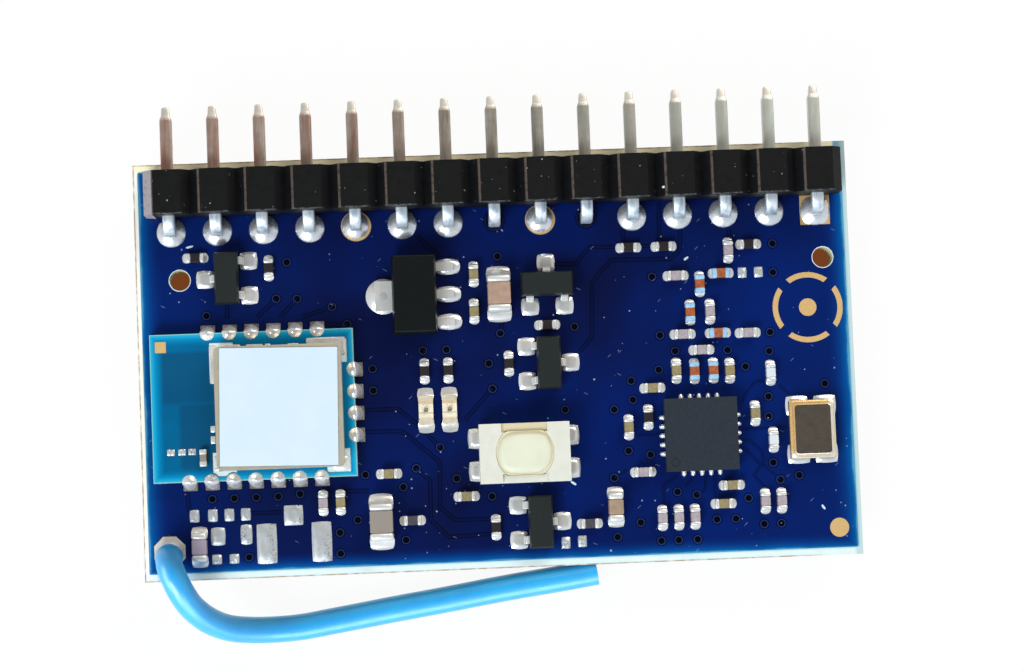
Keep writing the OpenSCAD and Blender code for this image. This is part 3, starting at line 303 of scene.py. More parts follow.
class Nodes:
    """A shader tree, with a short way to add each kind of node."""

    def __init__(self, tree):
        self.tree = tree

    def join(self, value, socket):
        self.tree.links.new(value, socket)

    def put(self, kind, inputs=None, **settings):
        """One node. Each input is a plain value or another node's output."""
        node = self.tree.nodes.new("ShaderNode" + kind)
        for key, value in settings.items():
            setattr(node, key, value)
        for key, value in (inputs or {}).items():
            if isinstance(value, bpy.types.NodeSocket):
                self.join(value, node.inputs[key])
            else:
                node.inputs[key].default_value = value
        return node

    def use(self, group, **values):
        """A node group, with its own values."""
        node = self.tree.nodes.new("ShaderNodeGroup")
        node.node_tree = bpy.data.node_groups[group]
        for label, value in values.items():
            node.inputs[label].default_value = value
        return node.outputs

    def calc(self, operation, *values, clamp=False):
        return self.put("Math", dict(enumerate(values)), operation=operation, use_clamp=clamp).outputs[0]

    def times(self, product, *others):
        for other in others:
            product = self.calc("MULTIPLY", product, other)
        return product

    def away(self, value, middle):
        """How far a value lies from another, to either side."""
        return self.calc("ABSOLUTE", self.calc("SUBTRACT", value, middle))

    def span(self, value, low, high, to_low=0.0, to_high=1.0):
        """Stretches the part of a value from low to high over a new span, and holds it at the ends."""
        return self.put("MapRange", {0: value, 1: low, 2: high, 3: to_low, 4: to_high}).outputs[0]

    def blend(self, factor, first, second, how="MIX"):
        sockets = {0: factor, 6: light(first), 7: light(second)}
        return self.put("Mix", sockets, data_type="RGBA", blend_type=how).outputs[2]

    def ramp(self, factor, *stops):
        node = self.put("ValToRGB", {0: factor})
        marks = node.color_ramp.elements
        for number, (place, colour) in enumerate(stops):
            mark = marks[number] if number < 2 else marks.new(place)
            mark.position = place
            mark.color = light(colour)
        return node.outputs[0]

    def parts(self, value, kind="XYZ"):
        """The three parts of a vector or, with the kind Color, of a colour."""
        return self.put("Separate" + kind, {0: value}).outputs

    def place(self):
        return self.put("TexCoord").outputs["Object"]

    def facing(self, which):
        return self.parts(self.put("NewGeometry").outputs[which])

    def noise(self, vector, scale, detail):
        return self.put("TexNoise", {"Vector": vector, "Scale": scale, "Detail": detail}).outputs[0]


print("shader helpers ready")

# %% [markdown]
# ## Light
# The board lies under soft daylight from the front left. The camera itself shades the sky straight above, which is
# why flat metal and lacquer look dark in the picture while every curved bit of solder catches a light. The sky is a
# plain gradient that does the same, one large lamp stands for the window and a weak one fills in from behind. The
# wire's gloss comes from two long lamps that light nothing else, and the fill leaves it out. Light linking does
# that: a lamp gets a collection of the objects that receive it, or that don't.

# %% Sky and lamps
SKY_STRENGTH = 0.8
world = bpy.data.worlds.new("soft_sky")
bpy.context.scene.world = world
world.use_nodes = True
sky = Nodes(world.node_tree)
direction = sky.parts(sky.put("TexCoord").outputs["Generated"])
by_height = sky.ramp(direction[Z], (0.0, grey(0.95)), (0.45, grey(0.9)), (0.8, grey(0.6)),
                     (0.96, (0.17, 0.16, 0.15, 1)))
by_side = sky.blend(sky.span(direction[Y], -0.7, 0.7), (0.86, 0.95, 1.08, 1), (0.68, 0.61, 0.55, 1))
background = sky.tree.nodes["Background"].inputs
sky.join(sky.blend(1.0, by_height, by_side, "MULTIPLY"), background["Color"])
background["Strength"].default_value = SKY_STRENGTH


def lamp(name, place, size, watts, colour):
    """A rectangular lamp that looks at the board's middle."""
    data = bpy.data.lights.new(name, "AREA")
    data.shape, data.size, data.size_y = "RECTANGLE", *size
    data.energy, data.color = watts, colour
    made = show(name, data)
    made.location = place
    made.rotation_euler = (BOARD_MIDDLE - Vector(place)).to_track_quat("-Z", "Y").to_euler()
    return made


lamp("window", (-0.16, -0.24, 0.26), (0.22, 0.16), 1.35, (0.9, 0.96, 1.0))
fill = lamp("fill", (0.16, 0.26, 0.2), (0.25, 0.2), 0.9, (1.0, 0.95, 0.88))
cord_only, all_but_cord = (bpy.data.collections.new(name) for name in ("cord_only", "all_but_cord"))
for chosen in (cord_only, all_but_cord):
    chosen.objects.link(wire)
all_but_cord.collection_objects[0].light_linking.link_state = "EXCLUDE"
fill.light_linking.receiver_collection = all_but_cord
for name, place in (("sheen_front", (0.0, -0.38, 0.17)), ("sheen_left", (-0.38, -0.06, 0.17))):
    sheen = lamp(name, place, (0.5, 0.26), 2.0, (0.9, 0.97, 1.0))
    sheen.visible_diffuse = False
    sheen.light_linking.receiver_collection = cord_only
print("sky and", len(bpy.data.lights), "lamps")

# %% [markdown]
# ## Paper
# The board lies on white paper. Paper alone would turn grey under these lamps, so for the camera and for reflections
# it also glows. Below the board the glow fades out, so that the ground there is as dark as a real shadow. Through
# the two tooling holes the photograph shows brown, so a brown spot lies where the camera looks down each hole.

# %% The paper
FLOOR_HALF, PAPER_GLOW = 1.5, 0.94
TOOLING_HOLES, HALF_LAMINATE = [(-17.3, 5.0), (18.2, 5.0)], 0.8
SPOT_RADIUS, SPOT_EDGE = 0.54, 0.64
SHADE_START, SHADE_FULL = 0.3, 2.3

floor_mesh = bpy.data.meshes.new("paper")
floor_mesh.from_pydata([(x * FLOOR_HALF, y * FLOOR_HALF, cad_box[0].z)
                        for x, y in ((-1, -1), (1, -1), (1, 1), (-1, 1))], [], [(0, 1, 2, 3)])
floor = show("paper", floor_mesh)

paper = bpy.data.materials.new("floor_paper")
paper.use_nodes = True
ground = Nodes(paper.node_tree)
shader = ground.tree.nodes["Principled BSDF"]
shader.inputs["Roughness"].default_value = 0.9
shader.inputs["Specular IOR Level"].default_value = 0.1
place = ground.place()
spots = 0.0
for hole in map(Vector, TOOLING_HOLES):
    seen_below = hole + (hole - eye.xy) * (-table_z - HALF_LAMINATE) / eye.z
    ends = {0: place, 1: on_board(*seen_below, table_z)}
    distance = ground.put("VectorMath", ends, operation="DISTANCE").outputs[1]
    spots = ground.calc("MAXIMUM", spots, ground.span(distance, SPOT_EDGE * MM, SPOT_RADIUS * MM))
half_board = (board_high - board_low) / 2
offset = ground.parts(ground.put("VectorMath", {0: place, 1: BOARD_MIDDLE}, operation="SUBTRACT").outputs[0])
under = ground.times(*[ground.span(ground.calc("ABSOLUTE", offset[axis]), half_board[axis] - SHADE_START * MM,
                                   half_board[axis] - SHADE_FULL * MM) for axis in (X, Y)])
white = ground.ramp(ground.noise(place, 900.0, 4.0), (0.3, (0.87, 0.87, 0.86, 1)), (0.7, (0.93, 0.93, 0.92, 1)))
ground.join(ground.blend(spots, white, (140, 80, 40)), shader.inputs["Base Color"])
rays = ground.put("LightPath").outputs
seen = ground.calc("MAXIMUM", ground.calc("MAXIMUM", rays["Is Camera Ray"], rays["Is Glossy Ray"]),
                   rays["Is Transmission Ray"])
glow = ground.put("Emission", {0: ground.blend(spots, grey(1), (118, 64, 32)), 1: 1.0}).outputs[0]
lit = ground.calc("MAXIMUM", ground.calc("SUBTRACT", 1.0, under), spots)
share = ground.times(seen, PAPER_GLOW, lit)
mixed = ground.put("MixShader", {0: share, 1: shader.outputs[0], 2: glow}).outputs[0]
ground.join(mixed, ground.tree.nodes["Material Output"].inputs[0])
floor_mesh.materials.append(paper)
print("paper of", 2 * FLOOR_HALF, "m")

# %% [markdown]
# ## Effects that several finishes share
# No real surface is one even colour. These small node groups hold what comes back in many finishes: a skin that
# wanders between two tones, dust that only settles on faces that look up, fine scratches and the distance to a
# rectangle's edge. Each is built once and placed in a material with its own values.

# %% Node groups
def effect(name, inputs, *outputs):
    """A new node group, with its inputs' first values."""
    tree = bpy.data.node_groups.new(name, "ShaderNodeTree")
    for label, value in inputs.items():
        tree.interface.new_socket(label, in_out="INPUT", socket_type="NodeSocketFloat").default_value = value
    for label in outputs:
        tree.interface.new_socket(label, in_out="OUTPUT", socket_type="NodeSocketFloat")
    return Nodes(tree), tree.nodes.new("NodeGroupInput").outputs, tree.nodes.new("NodeGroupOutput").inputs


group, given, result = effect("wandering_skin", {"Scale": 2000.0, "Detail": 5.0}, "Tone", "Grain")
place = group.place()
broad = group.noise(place, given["Scale"], given["Detail"])
fine = group.noise(place, group.times(given["Scale"], 5.0), 3.0)
group.join(group.span(broad, 0.32, 0.68), result["Tone"])
group.join(group.calc("ADD", group.times(broad, 0.7), group.times(fine, 0.3)), result["Grain"])

group, given, result = effect("settled_dust", {"Scale": 1500.0, "Share": 0.1, "Size": 0.16}, "Mask")
cells = group.put("TexVoronoi", {"Vector": group.place(), "Scale": given["Scale"]}).outputs
chance = group.parts(cells["Color"], "Color")
chosen = group.calc("LESS_THAN", chance[0], given["Share"])
reach = group.times(given["Size"], group.calc("ADD", chance[1], 0.3))
speck = group.calc("LESS_THAN", cells["Distance"], reach)
looks_up = group.span(group.facing("Normal")[Z], 0.3, 0.8)
group.join(group.times(chosen, speck, looks_up), result["Mask"])

group, given, result = effect("hair_scratches", {"Turn": 0.5, "Share": 0.006}, "Mask")
turned = group.put("VectorRotate", {"Vector": group.place(), "Angle": given["Turn"]}, rotation_type="Z_AXIS")
thin = group.put("VectorMath", {0: turned.outputs[0], 1: (1700.0, 15000.0, 50.0)}, operation="MULTIPLY")
cells = group.put("TexVoronoi", {"Vector": thin.outputs[0], "Scale": 1.0}).outputs
chosen = group.calc("LESS_THAN", group.parts(cells["Color"], "Color")[0], given["Share"])
group.join(group.times(chosen, group.calc("LESS_THAN", cells["Distance"], 0.25)), result["Mask"])

group, given, result = effect("edge_distance", {"Middle X": 0.0, "Middle Y": 0.0, "Half X": 1.0, "Half Y": 1.0,
                                                "Y Share": 1.0}, "Distance")
place = group.parts(group.place())
inset = [group.calc("SUBTRACT", given["Half " + label], group.away(place[axis], given["Middle " + label]))
         for axis, label in ((X, "X"), (Y, "Y"))]
nearest = group.calc("MINIMUM", inset[X], group.times(inset[Y], given["Y Share"]))
group.join(group.times(nearest, 1 / MM), result["Distance"])
print("effects:", [tree.name for tree in bpy.data.node_groups])

# %% [markdown]
# ## Finishes
# One class lays down what every finish has: two tones with the skin between them, a span of roughness and a fine
# bump. A finish with more to show, such as the lacquer, goes on from there: it tints the colour so far through one
# mask after another, as a painter glazes.

# %% A class for finishes
finishes = {}
DUST, BUMP_DEPTH = (205, 212, 220), 2e-5


class Finish(Nodes):
    def __init__(self, name, tone, other, rough, metal=0.0, scale=2000.0, bump=0.15, level=0.5, dust=0.0):
        finishes[name] = bpy.data.materials.new(name)
        finishes[name].use_nodes = True
        super().__init__(finishes[name].node_tree)
        self.shader = self.tree.nodes["Principled BSDF"].inputs
        self.shader["Metallic"].default_value = metal
        self.shader["Specular IOR Level"].default_value = level
        surface = self.use("wandering_skin", Scale=scale)
        bumps = self.put("Bump", {"Strength": bump, "Distance": BUMP_DEPTH, "Height": surface["Grain"]})
        self.join(bumps.outputs[0], self.shader["Normal"])
        self.colour = self.blend(surface["Tone"], tone, other)
        self.join(self.colour, self.shader["Base Color"])
        roughness = self.span(surface["Grain"], 0.3, 0.7, *rough)
        if dust:
            mask = self.specks(Share=dust)
            self.tint(DUST, mask)
            roughness = self.calc("MAXIMUM", roughness, self.times(mask, 0.8))
        self.join(roughness, self.shader["Roughness"])

    def tint(self, colour, *masks):
        """Lays a colour over the colour so far. A mask is an output, a number or a place as along takes it."""
        masks = [self.along(*mask) if isinstance(mask, tuple) else mask for mask in masks]
        self.colour = self.blend(self.times(*masks), self.colour, colour)
        self.join(self.colour, self.shader["Base Color"])

    def along(self, axis, low, high, start=None):
        """A mask that rises from low to high, in millimetres from start or else from the board's middle."""
        start = BOARD_MIDDLE[axis] if start is None else start
        return self.span(self.parts(self.place())[axis], start + low * MM, start + high * MM)

    def edge_of(self, low, high, y_share=1.0):
        """The distance in millimetres to the nearest side of a box, seen from above."""
        middle, half = (low + high) / 2, (high - low) / 2
        return self.use("edge_distance", **{"Middle X": middle.x, "Middle Y": middle.y, "Half X": half.x,
                                            "Half Y": half.y, "Y Share": y_share})["Distance"]

    def specks(self, **values):
        return self.use("settled_dust", **values)["Mask"]

    def wander(self, scale):
        return self.use("wandering_skin", Scale=scale)["Tone"]

    def fibres(self, stretch, detail):
        """Noise that is stretched out along one or two axes."""
        return self.noise(self.put("Mapping", {0: self.place(), 3: stretch}).outputs[0], 1.0, detail)


print("a finish is tinted through masks, dust is", DUST)

# %% [markdown]
# Solder, tin, gold, paper and the plainer ceramics need no more than two tones, a roughness and a grain. Metal here
# is only partly metallic to the shader, because thin plating on a small part scatters light as paint does. The empty
# pads also get dark pits, where a fine grain and broad patches meet.

# %% Plain finishes
Finish("solder", (244, 245, 244), (226, 226, 223), (0.16, 0.28), metal=0.55, scale=1500, bump=0.03)
Finish("bright_solder", (250, 251, 251), (230, 233, 234), (0.22, 0.3), metal=0.8, scale=1500, bump=0.03)
Finish("toe_solder", (158, 152, 146), (112, 106, 100), (0.36, 0.55), metal=0.5, scale=4000, bump=0.7)
Finish("gold", (244, 206, 142), (224, 186, 120), (0.38, 0.55), metal=0.55, scale=5000, bump=0.2)
Finish("copper", (214, 132, 92), (176, 98, 62), (0.25, 0.45), metal=0.9)
Finish("can_tin", (224, 216, 194), (198, 190, 168), (0.3, 0.45), metal=0.6, scale=900)
Finish("lamp_tin", (240, 232, 212), (214, 200, 172), (0.3, 0.45), metal=0.3, scale=4000, bump=0.06)
Finish("tin_plate", (238, 239, 236), (218, 219, 215), (0.24, 0.38), metal=0.4, scale=1500, bump=0.04)
Finish("lid_metal", (94, 86, 77), (76, 70, 62), (0.36, 0.52), metal=0.5, scale=3000, bump=0.5)
Finish("dome_steel", (190, 190, 188), (160, 160, 158), (0.25, 0.4), metal=0.9)
Finish("paper", (204, 221, 238), (199, 217, 235), (0.5, 0.65), scale=700, bump=0.06, level=0.2)
Finish("quartz", (222, 226, 228), (206, 212, 216), (0.1, 0.25))
Finish("resistor_black", (38, 33, 32), (26, 24, 26), (0.3, 0.5), scale=4000)
Finish("tan_ceramic", (150, 138, 98), (128, 116, 82), (0.42, 0.6), scale=5000)
Finish("bead_ferrite", (70, 70, 76), (52, 52, 58), (0.45, 0.6), scale=5000)
Finish("inductor_brown", (178, 98, 52), (138, 72, 40), (0.3, 0.5), scale=5000)
Finish("module_ceramic", (150, 140, 128), (130, 120, 110), (0.42, 0.6), scale=5000)
Finish("inductor_blue", (168, 206, 232), (128, 178, 214), (0.25, 0.45), scale=4000)
pads = Finish("pad_solder", (208, 213, 215), (186, 192, 195), (0.3, 0.5), metal=0.5, scale=2200, bump=0.1)
pads.tint((92, 92, 94), pads.span(pads.wander(16000.0), 0.62, 0.8), pads.span(pads.wander(1300.0), 0.5, 0.85))
print(len(finishes), "finishes so far")

# %% [markdown]
# The lacquer is a clear blue film. Over the copper of the board it is a deep navy, and towards the edges, where
# there is no copper below and light comes in through the laminate, it turns bright blue and then cyan. Towards both
# sides of the board it is also painted a brighter blue, a painted sheen. The lines and rings that we lay on it later
# carry one value, which darkens the same finish where the copper is cut away and paints the shade inside the holes.

# %% Lacquer
MASK_REACH = Vector((0.16, 0.0, 0.0)) * MM
mask_low, mask_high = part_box("solder_mask_top")
lacquer = Finish("blue_mask", (9, 15, 50), (3, 28, 95), (0.1, 0.2), scale=110, bump=0.04, level=0.2)
edge = lacquer.edge_of(mask_low - MASK_REACH, mask_high + MASK_REACH, 1.5)
edge = lacquer.calc("SUBTRACT", edge, lacquer.times(lacquer.wander(500.0), 0.12))
glow = lacquer.ramp(lacquer.calc("DIVIDE", edge, 1.4, clamp=True), (0.0, (76, 146, 186)), (0.05, (16, 94, 152)),
                    (0.13, (3, 74, 140)), (0.32, (4, 54, 122)), (0.65, (4, 40, 106)))
# Painted sheen: away from the board's middle, towards both sides, the lacquer is painted a brighter blue.
off_middle = lacquer.calc("ABSOLUTE", lacquer.parts(lacquer.place())[X])
lacquer.tint((5, 35, 104), lacquer.span(off_middle, 9 * MM, 18 * MM), 0.45)
lacquer.tint(glow, lacquer.span(edge, 1.2, 0.4))
# This value darkens the lacquer where the copper is cut away, paints the shade inside the holes black, and below
# zero lightens it into a thin pale ring.
gap = lacquer.put("Attribute", attribute_name="gap").outputs["Fac"]
lacquer.tint((2, 4, 9), gap)
lacquer.tint((120, 146, 176), lacquer.span(gap, 0.0, -1.0))
for scale, share, size, strength in ((1900.0, 0.05, 0.1, 0.5), (4200.0, 0.06, 0.16, 0.4)):
    lacquer.tint((190, 205, 225), lacquer.specks(Scale=scale, Share=share, Size=size), strength)
for turned in (0.5, 2.4):
    lacquer.tint((170, 190, 220), lacquer.use("hair_scratches", Turn=turned)["Mask"], 0.28)
print("lacquer of", len(lacquer.tree.nodes), "nodes")

# %% [markdown]
# The laminate is glass cloth in resin. It shows as a pale strip round the lacquer, creamy at the left and behind the
# header, and bluish at the right where the lacquer thins out over it. Behind the header the cream is painted lighter
# than the laminate is, as painted light against the housing's shadow. Its cut sides are sandy, with the layers of
# cloth as level fibres. The places of these strips are masks along x and y, and a face's direction tells the sides.

# %% Laminate
laminate = Finish("laminate", (216, 234, 234), (207, 226, 225), (0.45, 0.65), scale=1200, level=0.3)
laminate.tint((250, 247, 233), (X, -19.0, -19.1))
# Cream behind the header, painted lighter as painted light against the shadow of the header's housing.
laminate.tint((255, 247, 208), (Y, 11.0, 11.1), 0.9)
laminate.tint((182, 206, 206), (X, 19.2, 19.4))
laminate.tint((116, 174, 200), (X, 19.0, 19.1), (X, 19.6, 19.3), (Y, -11.1, -10.9))
rim = laminate.span(laminate.edge_of(board_low, board_high), 0.09, 0.02)
ragged = laminate.span(laminate.wander(2500.0), 0.0, 0.7, 0.25, 1.0)
laminate.tint((150, 112, 74), rim, ragged, (X, 18.0, 16.0))
cloth = laminate.span(laminate.fibres((700.0, 700.0, 9000.0), 3.0), 0.35, 0.65)
upright = laminate.calc("ABSOLUTE", laminate.facing("True Normal")[Z])
laminate.tint(laminate.blend(cloth, (196, 190, 152), (214, 210, 178)), laminate.span(upright, 0.6, 0.3))
print("laminate of", len(laminate.tree.nodes), "nodes")

# %% [markdown]
# The module's own little board has a teal lacquer with a pale rim. Two joined fields beside the can are deeper in
# tone, as lacquer is over copper. They are soft rectangles made of four masks each.

# %% The module's lacquer
DEEP_FIELDS = [(-18.5, -15.5, -1.85, 1.0), (-17.6, -15.5, -5.4, -1.85)]
teal = Finish("teal_mask", (2, 90, 132), (2, 100, 146), (0.12, 0.25), scale=300, bump=0.04, level=0.25, dust=0.04)
edge = teal.edge_of(*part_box("module_mask"))
pale = teal.ramp(teal.calc("DIVIDE", edge, 0.8, clamp=True), (0.0, (158, 212, 192)), (0.08, (40, 168, 202)),
                 (0.35, (2, 134, 184)), (1.0, (2, 98, 144)))
teal.tint(pale, teal.span(edge, 0.7, 0.3))
deep = 0.0
for west, east, south, north in DEEP_FIELDS:
    inside = teal.times(teal.along(X, west, west + 0.25), teal.along(X, east + 0.25, east),
                        teal.along(Y, south - 0.2, south + 0.2), teal.along(Y, north + 0.1, north - 0.1))
    deep = teal.calc("MAXIMUM", deep, inside)
teal.tint((10, 68, 104), deep, 0.7)
print("module's lacquer of", len(teal.tree.nodes), "nodes")

# %% [markdown]
# The header's housing is black plastic with pale dust, moulded as a row of blocks with break grooves between them.
# Painted shade darkens the grooves. A brown painted highlight runs along the left chamfer of each block, where the
# edge catches the light, and a grey one along the front edge. The left end is torn grey where the row was snapped
# off. All of it repeats with the pitch of the pins, so the mask counts pitches along x and keeps the fraction.

# %% Header plastic
black = Finish("header_black", (9, 10, 10), (6, 7, 7), (0.42, 0.62), scale=2500, bump=0.3, level=0.22, dust=0.06)
housing_low, housing_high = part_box("header_housing")
pitch = (housing_high.x - housing_low.x) / len(solids_of("header_pins"))
from_left = black.calc("SUBTRACT", black.parts(black.place())[X], housing_low.x)
phase = black.calc("FRACT", black.calc("DIVIDE", from_left, pitch))
high, broken = (Z, -0.12, -0.06, housing_high.z), black.wander(5000.0)
# Painted shade: the break grooves between the blocks are darker.
black.tint((6, 7, 10), black.span(black.away(phase, 0.5), 0.31, 0.34))
# Painted highlight: a brown line along the left chamfer of each block, where its edge catches the light.
black.tint((88, 76, 70), black.span(black.away(phase, 0.19), 0.032, 0.018), high, black.span(broken, -0.3, 0.5))
# Painted highlight: a grey line along the top of the housing's front edge.
black.tint((96, 102, 104), (Y, 0.08, 0.03, housing_low.y), high, black.span(broken, 0.2, 0.8, 0.1, 0.8))
for scale, share in ((2600.0, 0.2), (5200.0, 0.12)):
    black.tint((190, 190, 188), black.specks(Scale=scale, Share=share, Size=0.1), 0.5)
torn = black.blend(black.span(black.facing("True Normal")[X], -0.7, -0.9), (158, 150, 154), (74, 71, 72))
black.tint(torn, (X, 0.5, 0.46, housing_low.x), black.span(broken, 0.0, 0.4, 0.65, 1.0))
print("pitch of the header", round(pitch / MM, 3), "mm")

# %% [markdown]
# Chip bodies are moulded from a finely grained black, and each maker's black differs a little. The switch is cream
# plastic. Its back step and the foot of its button, where less light gets in, are a warmer cream.

# %% Chip bodies and switch
Finish("package_black", (21, 29, 30), (16, 23, 24), (0.5, 0.7), scale=6000, bump=0.4, level=0.3, dust=0.03)
Finish("regulator_black", (7, 15, 16), (5, 11, 12), (0.36, 0.5), scale=5000, bump=0.3, level=0.22, dust=0.05)
Finish("radio_black", (33, 43, 53), (26, 35, 45), (0.5, 0.7), scale=6000, bump=0.5, level=0.3, dust=0.05)
shell = Finish("switch_cream", (216, 217, 206), (209, 209, 196), (0.42, 0.55), scale=1500, bump=0.1)
frame_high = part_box("switch_frame")[1]
shell.tint((206, 194, 156), (Z, -0.03, -0.07, frame_high.z), (Y, -0.6, -0.4, frame_high.y), 0.8)
cap = Finish("button_cream", (219, 222, 200), (212, 215, 190), (0.38, 0.5), scale=900, bump=0.08)
cap.tint((218, 206, 168), (Z, -0.14, -0.3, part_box("switch_button")[1].z))
print(len(finishes), "finishes so far")

# %% [markdown]
# Plated metal shows the direction in which it was drawn, so the pins' tone follows noise that is stretched along y.
# In the photograph the pins turn from a brown to a grey reflection along the row. That painted reflection is a ramp
# along x. The cut points are a mask along y, and so are the bends in front of the housing, which get a painted
# bright, bluish highlight.

# %% Plated pins
pins = Finish("pin_plate", (200, 192, 182), (162, 154, 144), (0.32, 0.5), metal=0.6, scale=1500, bump=0.2)
streak = pins.fibres((4200.0, 420.0, 4200.0), 4.0)
# Painted reflection along the row: brown at the left, grey and then pale at the right, shown through the streaks.
painted_row_reflection = pins.ramp(pins.along(X, -19.0, 16.0), (0.0, (160, 96, 70)), (0.6, (120, 122, 110)), (1.0, (198, 206, 198)))
pins.tint(painted_row_reflection, pins.span(streak, 0.2, 0.7))
pins.tint((210, 206, 195), (Y, -0.74, -0.5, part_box("header_pins")[1].y))
# Painted highlight: the bends in front of the housing are bright and bluish.
bright = pins.blend(pins.span(streak, 0.45, 0.7), (236, 244, 250), (164, 184, 200))
pins.tint(bright, (Y, 0.05, -0.05, housing_low.y))
print("pins of", len(pins.tree.nodes), "nodes")

# %% [markdown]
# Ceramic parts come in greys and browns that differ from batch to batch. Where one kind shows two tones on the
# board, a mask along x or y parts them. The crystal's case is dark with a gold top edge, and its ring is paler at
# the right and in front.

# %% Crystal and ceramics
case = Finish("case_ceramic", (84, 74, 62), (66, 58, 50), (0.5, 0.7), scale=3000)
case.tint((226, 200, 150), (Z, -0.1, -0.06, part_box("crystal_case")[1].z))
ring = Finish("rim_gold", (246, 204, 140), (226, 182, 116), (0.3, 0.45), metal=0.55, scale=5000, bump=0.1)
ring.tint((234, 230, 216), ring.calc("MAXIMUM", ring.along(X, 17.9, 18.2), ring.along(Y, -5.6, -5.85)))
chips = Finish("grey_ceramic", (174, 162, 168), (152, 142, 148), (0.42, 0.6), scale=5000)
chips.tint((206, 214, 222), (X, 14.5, 14.6), (Y, -0.2, -0.3), (Y, -6.3, -6.2))
middles = Finish("middle_ceramic", (166, 142, 118), (142, 122, 102), (0.42, 0.6), scale=3000)
middles.tint((164, 154, 168), (X, 1.0, 0.0))
blocks = Finish("large_ceramic", (176, 146, 126), (154, 128, 112), (0.42, 0.6), scale=3000)
blocks.tint((140, 132, 123), (X, 0.0, -4.0))
print(len(finishes), "finishes so far")

# %% [markdown]
# A lamp is a white bed with tan bands under a clear body. The bands are a ramp along the lamp, and the body lets the
# bed show through by its alpha. The wire's insulation is glossy blue plastic that lets a little light in, which
# subsurface scattering imitates.

# %% Lamps and insulation
clear = Finish("lamp_clear", (240, 238, 222), (232, 228, 206), (0.12, 0.25), scale=3000)
clear.shader["Alpha"].default_value = 0.16
lamp_low, lamp_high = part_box("lamp_bases")
bed = Finish("lamp_white", (246, 242, 226), (238, 232, 212), (0.45, 0.6), scale=3000)
bands = bed.ramp(bed.span(bed.parts(bed.place())[Y], lamp_high.y, lamp_low.y), (0.0, grey(1)), (0.14, grey(1)),
                 (0.17, grey(0)), (0.58, grey(0)), (0.61, grey(0.8)), (0.68, grey(0.8)), (0.71, grey(0)),
                 (0.88, grey(0)), (0.9, grey(0.7)))
bed.tint((218, 190, 148), bands)
insulation = Finish("blue_insulation", (48, 186, 254), (40, 174, 246), (0.28, 0.38), scale=900, bump=0.08, level=0.9)
insulation.shader["Subsurface Weight"].default_value = 0.15
insulation.shader["Subsurface Radius"].default_value = (0.0002, 0.0004, 0.0006)
insulation.shader["Subsurface Scale"].default_value = 0.5
wire_curve.materials.append(finishes["blue_insulation"])
print(len(finishes), "finishes in all")

# %% [markdown]
# The solids that stay get the finish of their own slot. A moulded or plated edge is never razor sharp, so the
# solids in the table below also get a weld and a small bevel as modifiers, which leave the solid's own points alone.

# %% Dress the solids
OWN_FINISH = {"regulator_body": "regulator_black", "radio_chip_body": "radio_black", "lamp_ends": "lamp_tin",
              "aerial_pad": "lamp_tin"}
for name, solid in nodes.items():
    slot = solid.material_slots[0].material.name.split(".")[0]
    solid.material_slots[0].material = finishes[OWN_FINISH.get(name, slot)]

TRANSISTORS, LEADS = ([f"transistor_{number}_{part}" for number in (1, 2, 3, 4)] for part in ("body", "leads"))
ROUNDED = {0.03: ["radio_chip_body", "can_label", "resistor_bodies", "regulator_leads", "crystal_case", "lamp_bases",
                  "switch_terminals", "bead_bodies", "inductor_bodies", "tan_capacitor_bodies", "module_mask",
                  "grey_capacitor_bodies", "lamp_lenses", "crystal_seal_ring", "crystal_lid"],
           0.05: ["switch_base", "switch_frame", "middle_capacitor_bodies", "large_capacitor_bodies", *LEADS,
                  "lamp_ends"],
           0.09: ["regulator_body", *TRANSISTORS],
           0.16: ["screening_can"]}
SHARP_EDGE, WIDE_BEVEL = math.radians(40), 0.1
for width, names in ROUNDED.items():
    for name in names:
        nodes[name].modifiers.new("weld", "WELD").merge_threshold = 1e-6
        bevel = nodes[name].modifiers.new("round", "BEVEL")
        bevel.width = width * MM
        bevel.segments = 2 if width < WIDE_BEVEL else 4
        bevel.limit_method = "ANGLE"
        bevel.angle_limit = SHARP_EDGE
        bevel.harden_normals = True
print("dressed", len(nodes), "solids and rounded", sum(len(names) for names in ROUNDED.values()))

# %% [markdown]
# ## Lacquer round the solder
# In the solids every opening in the lacquer is a plain rectangle. On the board the lacquer follows the rounded
# outline of the pad, so a thin plate of lacquer fills each opening, and the solder that we add next covers all but
# its corners.

# %% Lacquer in the openings
FILL_OVER, FILL_TOP, FILL_DEPTH, FILL_EDGE = 0.02, 0.003, 0.03, 0.002


def rounded_boxes(stock, boxes, radius):
    """Boxes with all edges rounded, for lacquer, plated caps and dies."""
    for low, high in boxes:
        mesh = bmesh.new()
        bmesh.ops.create_cube(mesh, size=1.0)
        for vertex in mesh.verts:
            vertex.co = [low[i] + (high[i] - low[i]) * (vertex.co[i] + 0.5) for i in range(3)]
        bmesh.ops.bevel(mesh, geom=mesh.edges, offset=radius * MM, segments=3, profile=0.5, affect="EDGES")
        mesh.verts.index_update()
        stock.add([v.co for v in mesh.verts], [[v.index for v in face.verts] for face in mesh.faces])
        mesh.free()


fillings = Stock()
for node in ("small_chip_solder", "device_solder", "spare_pads"):
    rounded_boxes(fillings, [(Vector((low.x - FILL_OVER * MM, low.y - FILL_OVER * MM, BOARD_TOP - FILL_DEPTH * MM)),
                              Vector((high.x + FILL_OVER * MM, high.y + FILL_OVER * MM, BOARD_TOP + FILL_TOP * MM)))
                             for low, high in solids_of(node)], FILL_EDGE)
make_piece("mask_fill", fillings, "blue_mask")

# %% [markdown]
# ## Solder on the small chips
# Each small chip has a metal cap at both ends. A plated cap has round edges, so the caps are rounded boxes over the
# solids' own. Those of the coils are blue and run a little further in.

# %% Chip caps
COIL_REACH, COIL_NEAR, CAP_EDGE = 0.05, 0.1, 0.1


def middle_of(box, z=None):
    """The middle of a box, at its own height or at another."""
    middle = (box[0] + box[1]) / 2
    return middle if z is None else Vector((middle.x, middle.y, z))


